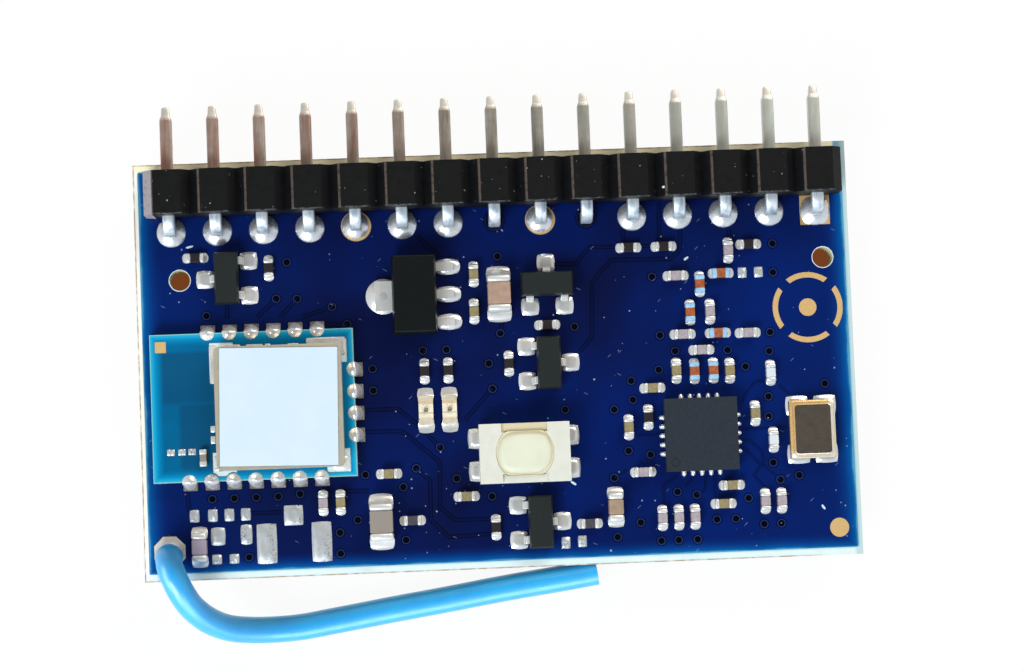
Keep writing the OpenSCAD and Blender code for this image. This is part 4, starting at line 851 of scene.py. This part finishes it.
def grown_inward(box, middle):
    """A box that reaches further towards the middle of its part."""
    corners, step = [box[0].copy(), box[1].copy()], middle - middle_of(box)
    axis = X if abs(step.x) > abs(step.y) else Y
    corners[int(step[axis] > 0)][axis] += math.copysign(COIL_REACH * MM, step[axis])
    return corners


ends = solids_of("small_chip_ends")
pairs = list(zip(ends[0::2], ends[1::2]))
coils = [middle_of(box) for box in solids_of("inductor_bodies")]
caps, coil_caps = Stock(), Stock()
for pair in pairs:
    middle = (middle_of(pair[0]) + middle_of(pair[1])) / 2
    if min((middle - coil).xy.length for coil in coils) < COIL_NEAR * MM:
        rounded_boxes(coil_caps, [grown_inward(box, middle) for box in pair], CAP_EDGE)
    else:
        rounded_boxes(caps, pair, CAP_EDGE)
make_piece("chip_caps", caps, "tin_plate", ["small_chip_ends"])
make_piece("inductor_caps", coil_caps, "inductor_blue")

# %% [markdown]
# A drop of solder climbs the outer face of each cap. It starts under the cap and runs out in a hollow curve, with a
# rounded toe that leaves the corners of the pad to the lacquer.

# %% Chip solder
TOE_RISE, TOE_LOW, TOE_SHARE, TOE_LUMPS = 0.3, 0.06, 0.9, 0.004


def size_of(box, way=ALONG_X):
    """A box's length along one of the board's directions and its width across it, in millimetres."""
    size = (box[1] - box[0]) / MM
    return (size.x, size.y) if way[0] else (size.y, size.x)


def outward(box, owner):
    """Which way a solder drop points, away from the middle of the part that it holds."""
    step, half = middle_of(box) - middle_of(owner), (owner[1] - owner[0]) / 2
    if abs(step.x) / half.x > abs(step.y) / half.y:
        return (math.copysign(1, step.x), 0.0)
    return (0.0, math.copysign(1, step.y))


def climbing(rise, toe, seed, uneven=0.012):
    """Solder that is highest at the part and runs out hollow to its toe."""
    rough = lumps(seed)
    return lambda a, b: toe + rise * np.clip((1 - a) / 1.7, 0, 1) ** 2 * (1 - 0.25 * b ** 4) + uneven * rough(a, b)


toes = Stock()
for number, box in enumerate(solids_of("small_chip_solder")):
    first, second = pairs[number // 2]
    way = outward(box, (Vector(map(min, first[0], second[0])), Vector(map(max, first[1], second[1]))))
    long, wide = size_of(box, way)
    drop(toes, middle_of(box, BOARD_TOP), way, (long, TOE_SHARE * wide),
         climbing(TOE_RISE, TOE_LOW, number, TOE_LUMPS), rounding=0.9)
make_piece("chip_solder", toes, "solder", ["small_chip_solder"])

# %% [markdown]
# ## Solder of the larger parts
# The larger parts share one node of solder in the frame. For each drop we look for the part that it holds, and that
# decides its form: it climbs the face of a capacitor, lies as a bright cushion under a flat lead, or stands as a
# round hill on the regulator's wide tab. A table keeps how round each outline is and which height rule it follows.

# %% Solder under leads and capacitors
OWNERS = {"chip": ["lamp_bases", "middle_capacitor_bodies", "large_capacitor_bodies"], "lead": TRANSISTORS,
          "tab": ["regulator_body"], "corner": ["crystal_case"], "plate": ["switch_base"],
          "edge": ["radio_chip_body"]}
CORNER_REACH, WIDE_TAB, BLOCK_EDGE = 0.4, 1.9, 0.16
owners = [(kind, box) for kind, names in OWNERS.items() for name in names for box in solids_of(name)]


def distance_to(box, point):
    return Vector([max(box[0][i] - point[i], 0, point[i] - box[1][i]) for i in (X, Y)]).length


def cushion(low, ridge, seed, uneven):
    """A bright cushion on a pad, with a ridge where the lead lies in it."""
    rough = lumps(seed)
    return lambda a, b: (low * (1 - 0.5 * a ** 4) * (1 - 0.5 * b ** 4) + uneven * rough(a, b)
                         + ridge * np.exp(-(b / 0.5) ** 2) * np.clip(0.75 - 0.5 * a, 0, 1))


def melted(crown, seed, uneven=0.012, low=0.02):
    """A soft cushion with rounded sides, as paste leaves on a pad when it melts."""
    rough = lumps(seed)
    return lambda a, b: low + (crown + uneven * rough(1.3 * a, 1.3 * b)) * (1 - a ** 4) * (1 - b ** 4)


def hill(low, rise, seed, uneven):
    rough = lumps(seed)
    return lambda a, b: low + rise * (1 - radius_of(a, b) ** 2) + uneven * rough(a, b)


FORMS = {"chip": (0.55, lambda rise, seed: climbing(rise * 1.15, 0.04, seed, 0.006)),
         "edge": (0.6, lambda rise, seed: cushion(0.12, 0.1, seed, 0.01)),
         "wide tab": (1.0, lambda rise, seed: hill(0.06, 0.34, seed, 0.01)),
         "tab": (0.7, lambda rise, seed: cushion(0.22, 0.08, seed, 0.006)),
         "plate": (0.45, lambda rise, seed: melted(0.2, seed)),
         "corner": (0.35, lambda rise, seed: melted(0.13, seed)),
         "lead": (0.5, lambda rise, seed: melted(0.13, seed))}
held = Stock()
for number, box in enumerate(solids_of("device_solder")):
    kind, owner = min(owners, key=lambda entry: distance_to(entry[1], middle_of(box)))
    if kind == "corner":
        inward = Vector((math.copysign(CORNER_REACH * MM, middle_of(owner).x - middle_of(box).x), 0, 0))
        box = (box[0] + inward, box[1]) if inward.x < 0 else (box[0], box[1] + inward)
    way = outward(box, owner)
    size = size_of(box, way)
    rounding, form = FORMS["wide tab" if kind == "tab" and size[0] > WIDE_TAB else kind]
    rise = (box[1].z - BOARD_TOP) / MM
    drop(held, middle_of(box, BOARD_TOP), way, size, form(rise, number), rounding, steps=12)
make_piece("device_joints", held, "solder", ["device_solder"])
thick = Stock()
rounded_boxes(thick, solids_of("larger_capacitor_ends"), BLOCK_EDGE)
make_piece("capacitor_caps", thick, "tin_plate", ["larger_capacitor_ends"])

# %% [markdown]
# ## Header pins
# A header pin is square wire, cut with a stepped point and bent over a round tool. We sweep a square with rounded
# corners along the pin's middle line: up through the board, round the bend and out through the housing.

# %% Pins of the header
PIN_HALF, PIN_EDGE, BEND = 0.32, 0.09, 0.62
TAIL = [(0.0, 0.62), (0.1, 0.75), (0.4, 1.0)]
POINT = [(0.76, 1.0), (0.66, 0.95), (0.54, 0.8), (0.44, 0.73), (0.12, 0.66), (0.03, 0.56), (0.0, 0.38)]
curved = PIN_EDGE / PIN_HALF
OUTLINE = [(sx * (1 - curved) + curved * math.cos(start + t), sy * (1 - curved) + curved * math.sin(start + t))
           for sx, sy, start in ((1, 1, 0.0), (-1, 1, math.pi / 2), (-1, -1, math.pi), (1, -1, 1.5 * math.pi))
           for t in np.radians((0, 30, 60, 90))]


def pin_line(low, high):
    """A pin's middle line in the frame's y and z, with its size at each place."""
    y, z = low.y + PIN_HALF * MM, high.z - PIN_HALF * MM
    line = [(y, low.z + reach * MM, share) for reach, share in TAIL] + [(y, z - BEND * MM, 1.0)]
    line += [(y + BEND * (1 - math.cos(t)) * MM, z - BEND * (1 - math.sin(t)) * MM, 1.0)
             for t in np.radians((15, 30, 45, 60, 75, 90))]
    return line + [(high.y - reach * MM, z, share) for reach, share in POINT]


def tube(stock, points, count, flip=False):
    """Rings of count points, one after the other, as a tube with a cap at both ends."""
    faces = faces_between(len(points) // count, count)
    faces += [tuple(range(count)), tuple(reversed(range(len(points) - count, len(points))))]
    stock.add(points, [face[::-1] for face in faces] if flip else faces)


swept_pins = Stock()
for low, high in solids_of("header_pins"):
    line, rows = pin_line(low, high), []
    for number, (y, z, share) in enumerate(line):
        (y0, z0, _), (y1, z1, _) = line[max(number - 1, 0)], line[min(number + 1, len(line) - 1)]
        length = math.hypot(y1 - y0, z1 - z0)
        normal_y, normal_z = -(z1 - z0) / length, (y1 - y0) / length
        reach = PIN_HALF * share * MM
        rows += [((low.x + high.x) / 2 + u * reach, y + normal_y * v * reach, z + normal_z * v * reach)
                 for u, v in OUTLINE]
    tube(swept_pins, rows, len(OUTLINE))
make_piece("square_pins", swept_pins, "pin_plate", ["header_pins"], sharp=35)

# %% [markdown]
# ## Header joints
# The pins go down through plated holes. On the top the solder lies as a low round hill about each pin, and on the
# back it has drawn down into a hollow cone. Two pins have bare holes on the top. Round two others a ring of gold
# shows, and the last pin's pad is a gold square. Each is one drop with its own height rule, and the gold is flat.

# %% Joints of the header
BARE_PINS, GOLD_PINS, SQUARE_PIN = (7, 9), (4, 8), 14
JOINT, GOLD_JOINT, GOLD_PAD, GOLD_RISE = 1.62, 1.5, 1.66, 0.012
TOP_RISE, BACK_RISE, BACK_SEED = 0.34, 0.75, 50
SQUARE_SHIFT, GOLD_SHIFT = Vector((0, -0.05, 0)) * MM, Vector((-0.04, 0.03, 0)) * MM
pin_joints, gold_plates = Stock(), Stock()


def mound(rise, seed):
    """Solder that has pulled itself up into a low round hill."""
    rough = lumps(seed)
    return lambda a, b: 0.03 + rise * (1 - radius_of(a, b) ** 2.2) + 0.004 * rough(a, b) * (1 - radius_of(a, b))


def hollow_cone(rise, seed, uneven=0.004, foot=0.03):
    """Solder that rises ever more steeply towards its middle."""
    rough = lumps(seed)
    return lambda a, b: (foot + rise * np.clip(1 - 0.86 * radius_of(a, b), 0, 1) ** 1.8
                         + uneven * rough(a, b) * radius_of(a, b))


def pin_foot(box, z):
    return Vector(((box[0].x + box[1].x) / 2, box[0].y + PIN_HALF * MM, z))


for number, box in enumerate(solids_of("header_pins")):
    foot = pin_foot(box, BOARD_TOP)
    square, gold = number == SQUARE_PIN, number in GOLD_PINS
    drop(pin_joints, pin_foot(box, BOARD_BACK), ALONG_X, (JOINT, JOINT), hollow_cone(BACK_RISE, BACK_SEED + number),
         0.3 if square else 1.0, 14, up=-1)
    if number in BARE_PINS:
        continue
    if square or gold:
        drop(gold_plates, foot, ALONG_X, (GOLD_PAD, GOLD_PAD), lambda a, b: GOLD_RISE + 0 * a,
             0.05 if square else 1.0, 14)
        foot += SQUARE_SHIFT if square else GOLD_SHIFT
    wide = GOLD_JOINT if gold else JOINT
    drop(pin_joints, foot, ALONG_X, (wide, wide), mound(TOP_RISE, number), 0.85 if square else 1.0, 26)
make_piece("header_joints", pin_joints, "bright_solder", ["header_solder"])
make_piece("header_pads", gold_plates, "gold")

# %% [markdown]
# ## Joints of the module
# The module's own little board has half-round plated notches along three edges. In each stands a bright half dome of
# solder, and in front of it a flatter toe lies on the main board's pad.

# %% Domes and toes
TOE_LONG, TOE_WIDE, TOE_BACK = 0.68, 0.92, 0.32
DOME, DOME_BACK, DOME_SUNK, DOME_CROWN, DOME_FALL = 0.8, 0.45, 0.02, 0.16, 0.62
module_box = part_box("module_board")
module_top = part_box("module_mask")[1].z
notch_rise = (module_top - BOARD_TOP) / MM - DOME_SUNK
domes, toe_pads = Stock(), Stock()
for number, box in enumerate(solids_of("module_joints")):
    way = Vector((*outward(box, module_box), 0))
    long, wide = size_of(box, way)
    toe_edge = middle_of(box, BOARD_TOP) + way * long / 2 * MM
    rough = lumps(number)
    drop(toe_pads, toe_edge - way * TOE_BACK * MM, way, (TOE_LONG, wide * TOE_WIDE),
         lambda a, b: 0.09 + 0.16 * np.clip((0.2 - a) / 1.2, 0, 1) + 0.03 * rough(a, b), 0.12, foot=0.04)
    drop(domes, toe_edge - way * DOME_BACK * MM, way, (DOME, DOME),
         lambda a, b: notch_rise + DOME_CROWN * (1 - radius_of(a, b) ** 2) - DOME_FALL * np.clip(a, 0, 1) ** 1.8
         + 0.004 * rough(a, b), 1.0, 16, foot=-0.06)
make_piece("module_solder", domes, "solder", ["module_joints"])
make_piece("module_toes", toe_pads, "toe_solder")

# %% [markdown]
# The can stands in solder too. Bright, flat lands show at its corners and along its back edge, and the module also
# has a few pads of its own and one small chip beside the can. The lands and pads are low pillows on the module's
# top, and the chip gets two metal caps.

# %% Lands on the module
LANDS = [(-15.58, 0.25, 0.37, 2.07), (-9.39, 1.36, 2.14, 0.35), (-8.55, 1.05, 0.4, 0.9), (-8.79, -5.36, 0.95, 0.75),
         (-14.90, -5.34, 1.5, 0.34), (-15.47, -5.05, 0.35, 0.6), (-15.68, -3.25, 0.25, 0.35),
         (-15.69, -3.84, 0.25, 0.4), (-14.44, 1.25, 0.76, 0.14), (-13.28, 1.23, 0.9, 0.14),
         (-12.56, 1.23, 0.28, 0.14), (-11.17, 1.2, 0.6, 0.14)]
LAND_SEED, LAND_CROWN, DOT_SEED, DOT_STEP, CAP_SHARE = 300, 0.1, 330, 0.1, 0.28


def pillow(low, crown, seed, power=4, finer=1):
    """A flat drop with soft sides and a grain of lumps all over."""
    rough = lumps(seed)
    return lambda a, b: (low + crown * (1 - a ** power) * (1 - b ** power)
                         + 0.012 * (1 + rough(finer * a, finer * b)))


lands = Stock()
for number, (x, y, wide, deep) in enumerate(LANDS):
    drop(lands, Vector((*on_board(x, y).xy, module_top)), ALONG_X, (wide, deep),
         pillow(0.015, LAND_CROWN * min(wide, deep), LAND_SEED + number, finer=2), 0.15, 12)
make_piece("can_lands", lands, "tin_plate", ["can_solder"])
dots = Stock()
for number, box in enumerate(solids_of("module_pads")):
    long, wide = size_of(box)
    for side in (-1, 1):
        drop(dots, middle_of(box, module_top) + Vector((side * DOT_STEP * MM, 0, 0)), ALONG_X,
             (long * 0.6, wide * 0.9), pillow(0.02, 0.05, DOT_SEED + 2 * number + side), 0.3)
make_piece("module_dots", dots, "pad_solder", ["module_pads"])
low, high = solids_of("module_chips")[0]
cap_length, grow = CAP_SHARE * (high.y - low.y), Vector((0.015, 0.015, 0.02)) * MM
module_caps = Stock()
rounded_boxes(module_caps, [(low - grow, Vector((high.x, low.y + cap_length, high.z)) + grow),
                            (Vector((low.x, high.y - cap_length, low.z)) - grow, high + grow)], 0.05)
make_piece("module_chip_caps", module_caps, "tin_plate")

# %% [markdown]
# ## Empty pads
# Some places on the board were left without a part. Their pads were still printed with paste and melted, so they are
# soft, low cushions of solder. The outlines of the small ones are rounder than those of the large ones.

# %% Tinned pads
PAD_SEED, LARGE_PAD = 200, 0.9
spare = Stock()
for number, box in enumerate(solids_of("spare_pads")):
    size = size_of(box)
    drop(spare, middle_of(box, BOARD_TOP), ALONG_X, size,
         melted(0.06 + 0.05 * min(size), PAD_SEED + number, 0.022, 0.03), 0.15 if min(size) > LARGE_PAD else 0.4, 16)
make_piece("tinned_pads", spare, "pad_solder", ["spare_pads"])

# %% [markdown]
# ## The aerial's joint
# A ring of solder holds the bare core in its hole, with the eight-sided pad round it, and a blunt cone of solder
# closes the hole on the back. At the wire's free end the seven strands of the core show, almost flush with the cut.

# %% Aerial solder and strands
AERIAL_JOINT, AERIAL_BACK = 1.52, 1.4
STRAND, STRAND_SIDES = 0.1, 10
STRAND_ENDS = [(-0.1, STRAND), (0.0, STRAND), (0.01, STRAND * 0.8), (0.015, STRAND * 0.4)]
root = on_board(*WIRE_ROOT)
joint = Stock()
drop(joint, root, ALONG_X, (AERIAL_JOINT, AERIAL_JOINT), hollow_cone(0.3, 77, 0.03, 0.11), 1.0, 20)
drop(joint, Vector((root.x, root.y, BOARD_BACK)), ALONG_X, (AERIAL_BACK, AERIAL_BACK), hollow_cone(0.5, 78), 1.0,
     14, up=-1)
make_piece("aerial_joint", joint, "solder", ["aerial_solder"])

heading = (wire_line[-1] - wire_line[-2]).normalized()
sideways = heading.cross(Vector((0, 0, 1))).normalized()


def around(angle):
    """A step out from the wire's middle line."""
    return sideways * math.cos(angle) + sideways.cross(heading) * math.sin(angle)


strands = Stock()
for number in range(7):
    hub = wire_line[-1] + around(number * math.pi / 3) * (0.0 if number == 6 else 2 * STRAND) * MM
    tube(strands, [hub + heading * reach * MM + around(t) * radius * MM for reach, radius in STRAND_ENDS
                   for t in np.arange(STRAND_SIDES) * 2 * math.pi / STRAND_SIDES], STRAND_SIDES, flip=True)
strand_piece = make_piece("aerial_strands", strands, "copper")

# %% [markdown]
# ## Tracks
# Copper tracks show through the lacquer as thin lines where the copper beside them is cut away. They are laid on as
# low relief: ribbons with a raised middle between two dark grooves. They use the lacquer's own finish and darken it
# through their gap value, so that they need no picture.

# %% Tracks
TRACKS = [
    [(-4.24, 7.04), (-2.96, 5.78)],
    [(3.37, 5.16), (4.47, 5.11), (5.34, 6.03), (6.72, 5.98)],
    [(10.36, 6.79), (10.31, 5.68), (9.79, 5.20), (6.47, 5.26), (5.37, 4.08), (5.24, 1.04), (4.55, 0.30)],
    [(8.16, 5.98), (8.71, 5.96)],
    [(9.26, 8.38), (9.17, 6.27)],
    [(7.15, 6.96), (7.23, 6.29)],
    [(13.08, 6.74), (13.06, 6.30)],
    [(0.32, 2.06), (0.18, 1.51)],
    [(7.44, -4.45), (8.82, -4.44)],
    [(13.19, -4.34), (15.79, -4.33)],
    [(13.16, -4.94), (13.71, -4.96), (14.35, -5.59), (14.42, -6.37), (15.27, -7.17)],
    [(13.14, -5.33), (13.52, -5.51), (14.26, -6.36), (13.85, -6.90), (14.42, -7.58)],
    [(13.37, -2.86), (13.55, -2.42), (14.19, -1.73), (14.97, -1.70)],
    [(15.45, -2.00), (16.04, -2.52)],
    [(8.82, -8.35), (8.86, -7.25), (9.60, -6.78)],
    [(10.59, -6.77), (10.02, -7.41)],
    [(11.20, -6.79), (11.11, -7.61), (10.66, -7.82)],
    [(11.71, -6.54), (11.64, -8.02)],
    [(6.86, -6.35), (6.19, -6.71)],
    [(-7.34, -2.51), (-5.58, -2.51), (-4.57, -3.37), (-3.36, -4.69)],
    [(-7.38, -3.70), (-5.41, -3.73), (-3.39, -5.51), (-3.48, -7.97), (-2.69, -8.71), (-0.77, -8.73)],
    [(-4.72, -5.84), (-3.97, -6.47), (-4.00, -8.66), (-3.05, -9.63), (-0.80, -9.55)],
    [(-0.38, -1.61), (-1.93, -3.26)],
    [(-14.75, 3.56), (-14.78, 2.79)],
    [(-12.11, 3.74), (-13.13, 2.84)],
    [(-10.96, 3.70), (-11.87, 2.79)],
    [(-9.00, 3.24), (-10.66, 2.75)],
    [(-9.47, 2.32), (-8.21, 2.21)],
    [(-17.26, -6.50), (-17.19, -7.70)],
    [(-9.63, -6.85), (-7.33, -6.94)],
    [(-14.31, -7.92), (-12.13, -7.90)],
]
ACROSS = [(-1.0, 0.001, 0.35), (-0.72, 0.003, 0.88), (-0.42, 0.008, 0.22), (0.42, 0.008, 0.22), (0.72, 0.003, 0.88),
          (1.0, 0.001, 0.35)]
WIDE_TRACK, FINE_TRACK, FINE_FROM_X = 0.13, 0.08, 6.5


def ribbon(stock, points, half):
    """A flat strip along a line with mitred corners. Its cross-section is given by ACROSS."""
    points = [Vector(p) for p in points]
    ways = [(b - a).normalized() for a, b in zip(points, points[1:])]
    rows, values = [], []
    for number, point in enumerate(points):
        before, after = ways[max(number - 1, 0)], ways[min(number, len(ways) - 1)]
        way = (before + after).normalized()
        reach = half / max(way.dot(after), 0.5)
        for share, rise, dark in ACROSS:
            rows.append(on_board(point.x - way.y * share * reach, point.y + way.x * share * reach, rise))
            values.append(dark)
    faces = faces_between(len(points), len(ACROSS), closed=False)
    stock.add(rows, [face[::-1] for face in faces], values)


tracks = Stock()
for points in TRACKS:
    is_fine = points[0][X] > FINE_FROM_X and points[0][Y] < 0
    ribbon(tracks, points, FINE_TRACK if is_fine else WIDE_TRACK)
make_piece("mask_tracks", tracks, "blue_mask")

# %% [markdown]
# ## Through holes
# Small plated holes carry the tracks to the back. Each is a ring of low relief with a black middle, painted shade
# where one looks into the open hole, turned as on a lathe from a profile of radius, height and gap value. It lies on
# both sides of the board. The two bare pins get a wider ring on the top, with painted shade in the hole round the
# pin.

# %% Through holes
HOLES = [(-11.4, 5.8), (-12.05, 3.8), (-10.9, 3.75), (-9.0, 3.25), (-15.9, 3.0), (-8.2, 2.25), (0.2, 5.7),
         (0.2, 1.45), (4.3, 1.65), (-4.1, 0.65), (-2.8, 0.65), (-0.5, -0.2), (-0.35, -1.6), (7.3, -1.45),
         (7.35, -2.5), (3.6, -2.9), (6.3, -3.0), (-3.35, -4.7), (-4.7, -5.8), (-5.45, -6.8), (-2.5, -6.45),
         (-0.6, -7.5), (-5.4, -9.7), (7.0, -5.3), (6.15, -6.75), (6.2, -10.0), (-15.9, -7.05), (-14.7, -7.05),
         (-13.5, -7.05), (-12.3, -7.05), (-11.1, -6.95), (-8.0, -8.5), (-9.0, -9.15), (-9.0, -10.3),
         (-14.0, -10.3), (-7.5, -6.05), (-6.9, -0.25), (-6.9, -1.45), (15.45, 5.85), (8.7, 4.25), (15.4, 4.25),
         (9.0, 1.0), (15.1, 0.95), (9.8, 0.1), (12.7, 0.05), (15.0, -0.1), (8.85, -0.9), (13.65, -0.9),
         (18.0, -2.0), (14.85, -2.6), (14.8, -3.7), (8.2, -5.55), (14.95, -6.25), (15.3, -7.2), (16.35, -7.0),
         (9.6, -7.65), (10.65, -7.85), (13.5, -8.15), (11.7, -9.25), (12.75, -9.25), (7.5, -9.25), (14.3, -9.6),
         (15.25, -9.6), (8.6, -10.3), (9.55, -10.3), (10.6, -10.3)]
# In both profiles a value of 1 in the middle is painted shade: the dark of the open hole.
PROFILE = [(0.10, 0.004, 1.0), (0.165, 0.005, 1.0), (0.18, 0.01, 0.2), (0.2, 0.012, -0.16), (0.225, 0.01, -0.06),
           (0.24, 0.004, 0.7), (0.285, 0.003, 0.75), (0.31, 0.001, 0.2)]
BARE_PROFILE = [(0.3, 0.004, 1.0), (0.47, 0.005, 1.0), (0.49, 0.012, 0.3), (0.53, 0.012, 0.1), (0.56, 0.003, 0.8),
                (0.6, 0.002, 0.7), (0.63, 0.001, 0.2)]


def ring_of(stock, place, profile, up=1, sides=20):
    """A lathe-turned ring: each entry of the profile is a radius, a height and a value for copper gaps and painted
    hole shade.
    """
    rows, values = [], []
    for radius, rise, dark in profile:
        for angle in np.arange(sides) * 2 * math.pi / sides:
            rows.append((place.x + radius * math.cos(angle) * MM, place.y + up * radius * math.sin(angle) * MM,
                         place.z + up * rise * MM))
            values.append(dark)
    stock.add(rows, [tuple(range(sides))] + faces_between(len(profile), sides, first=3), values)


holes = Stock()
for number in BARE_PINS:
    ring_of(holes, pin_foot(solids_of("header_pins")[number], BOARD_TOP), BARE_PROFILE, sides=28)
for x, y in HOLES:
    ring_of(holes, on_board(x, y), PROFILE)
    ring_of(holes, Vector((*on_board(x, y).xy, BOARD_BACK)), PROFILE, up=-1)
make_piece("through_holes", holes, "blue_mask")

# %% [markdown]
# ## Rims
# The crystal's lid is seam-welded to a gold ring, which leaves a soft, rounded rim between the lid and the case. We
# loft it through a few rounded rectangles. The tooling holes get a thin pale rim in the same way, with circles, and
# the lacquer gets the thin border that it draws over the board's short sides.

# %% Rims
def loft(stock, middle, steps, corner=4):
    """A skin through rounded rectangles, each given as width, depth, corner radius and height, in millimetres."""
    rows = []
    for wide, deep, radius, rise in steps:
        for sx, sy, start in ((1, 1, 0.0), (-1, 1, 0.5), (-1, -1, 1.0), (1, -1, 1.5)):
            for t in np.linspace(start, start + 0.5, corner + 1) * math.pi:
                rows.append(middle + Vector((sx * (wide / 2 - radius) + radius * math.cos(t),
                                             sy * (deep / 2 - radius) + radius * math.sin(t), rise)) * MM)
    stock.add(rows, faces_between(len(steps), len(rows) // len(steps), first=3))


def grown(size, *steps):
    """Rectangles round a size, each given as its growth in width and depth, its corner radius and its height."""
    return [(size[X] + wider, size[Y] + deeper, radius, rise) for wider, deeper, radius, rise in steps]


case_box, lid_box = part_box("crystal_case"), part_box("crystal_lid")
case_rise = (case_box[1].z - lid_box[1].z) / MM
rim_stock = Stock()
loft(rim_stock, middle_of(lid_box, lid_box[1].z),
     grown(size_of(lid_box), (-0.06, -0.06, 0.16, -0.01), (0, 0, 0.18, 0.02), (0.14, 0.14, 0.2, 0.02))
     + grown(size_of(case_box), (-0.16, -0.16, 0.22, case_rise + 0.05), (-0.02, -0.02, 0.14, case_rise + 0.03),
             (0, 0, 0.12, case_rise - 0.03)))
make_piece("crystal_rim", rim_stock, "rim_gold")

HOLE_RIM = [(0.56, -0.05), (0.57, 0.006), (0.6, 0.006), (0.62, -0.01)]
pale_rims = Stock()
for x, y in TOOLING_HOLES:
    loft(pale_rims, on_board(x, y), [(2 * radius, 2 * radius, radius, rise) for radius, rise in HOLE_RIM], 8)
make_piece("hole_rims", pale_rims, "laminate")

border = Stock()
loft(border, middle_of((mask_low, mask_high), mask_high.z),
     grown(size_of((mask_low - MASK_REACH, mask_high + MASK_REACH)), (-0.6, -0.3, 0.1, -0.002),
           (-0.5, -0.2, 0.1, 0.002), (-0.02, -0.01, 0.1, 0.002), (0, 0, 0.1, -0.05)))
make_piece("mask_border", border, "blue_mask")

# %% [markdown]
# ## Button
# The button is a soft oval of cream plastic: a round drop whose outline is a circle cut flat at front and back. A
# lip below it fills the gap to the frame. It rides on its own body.

# %% Button
BUTTON_HALF, BUTTON_FLAT, BUTTON_CROWN = 1.5, 1.13, 0.04
BUTTON_PARTS = [(-0.02, 8, 0.0, 0.2, 0.5), (0.065, 40, -0.23, 0.0, 0.6)]
button_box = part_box("switch_button")
button_middle = middle_of(button_box, button_box[1].z)


def reach_of(x, y, grow, soft):
    """How far the button reaches in a direction: a circle cut flat at front and back, with soft corners."""
    across = abs(y) / max(math.hypot(x, y), 1e-9)
    return ((BUTTON_HALF + grow) ** -soft + (across / (BUTTON_FLAT + grow)) ** soft) ** (-1 / soft)


oval = Stock()
for grow, soft, top, edge_fall, depth in BUTTON_PARTS:
    round_cap = Stock()
    drop(round_cap, (0, 0, 0), ALONG_X, (2, 2), lambda a, b: top - BUTTON_CROWN * radius_of(a, b) ** 2
         - edge_fall * radius_of(a, b) ** 14, 1.0, 36, foot=depth)
    oval.add([button_middle + Vector((x * reach_of(x, y, grow, soft), y * reach_of(x, y, grow, soft), z))
              for x, y, z in round_cap.points], round_cap.faces)
make_piece("oval_button", oval, "button_cream", ["switch_button"], body="button", sharp=60)

# %% [markdown]
# ## Lamp dies
# In each lamp a tiny dark die sits below the clear lens, with two fine bond wires of gold. The die is a rounded box,
# and each wire is a thin tube along a smooth line, as the aerial is, but as a mesh because it is so short.

# %% Lamp dies
DIE, DIE_EDGE, DIE_SHIFT = 0.11, 0.02, Vector((0, 0.02, 0)) * MM
BOND = [(0.02, 0.0, 0.1), (0.08, 0.12, 0.2), (0.13, 0.3, 0.12), (0.15, 0.42, 0.0)]
BOND_RADIUS, BOND_SIDES = 0.016, 6
dies, bonds = Stock(), Stock()
for low, high in solids_of("lamp_bases"):
    middle = middle_of((low, high), high.z) + DIE_SHIFT
    reach = Vector((DIE, DIE, DIE)) * MM
    rounded_boxes(dies, [(middle - reach, middle + reach)], DIE_EDGE)
    for side in (-1, 1):
        line = smooth_line([middle + Vector((side * x, y, z)) * MM for x, y, z in BOND])
        tube(bonds, [place + Vector((math.cos(t), 0.0, math.sin(t))) * BOND_RADIUS * MM for place in line
                     for t in np.arange(BOND_SIDES) * 2 * math.pi / BOND_SIDES], BOND_SIDES)
make_piece("lamp_dies", dies, "resistor_black")
make_piece("lamp_bonds", bonds, "gold")

# %% [markdown]
# ## Lint
# A few pale chips of lint lie on the board where the photograph shows them. They are small long drops with rounded
# ends, each turned its own way. Real pieces suit them better than a mask, because they stand up and catch the light.

# %% Lint
LINT = [(9.32, 8.92, 2.54, 0.16, 0.3), (-16.70, 6.84, 0.0, 0.42, 0.2), (10.63, 5.20, 0.0, 0.3, 0.6),
        (17.61, -8.80, 0.0, 0.3, 2.2), (3.9, -6.95, 0.0, 0.34, -0.6), (-0.55, -8.95, 0.0, 0.2, 0.4)]
LINT_WIDTH, LINT_SEED = 0.13, 400
lint = Stock()
for number, (x, y, z, long, way) in enumerate(LINT):
    drop(lint, on_board(x, y, z), (math.cos(way), math.sin(way)), (long, LINT_WIDTH),
         pillow(0.02, 0.05, LINT_SEED + number, power=2), 0.8, 8, foot=0.0)
make_piece("lint", lint, "paper")

# %% [markdown]
# ## Last update
# The view layer is brought up to date once more, so that every piece stands where it was put.

# %% Update
bpy.context.view_layer.update()
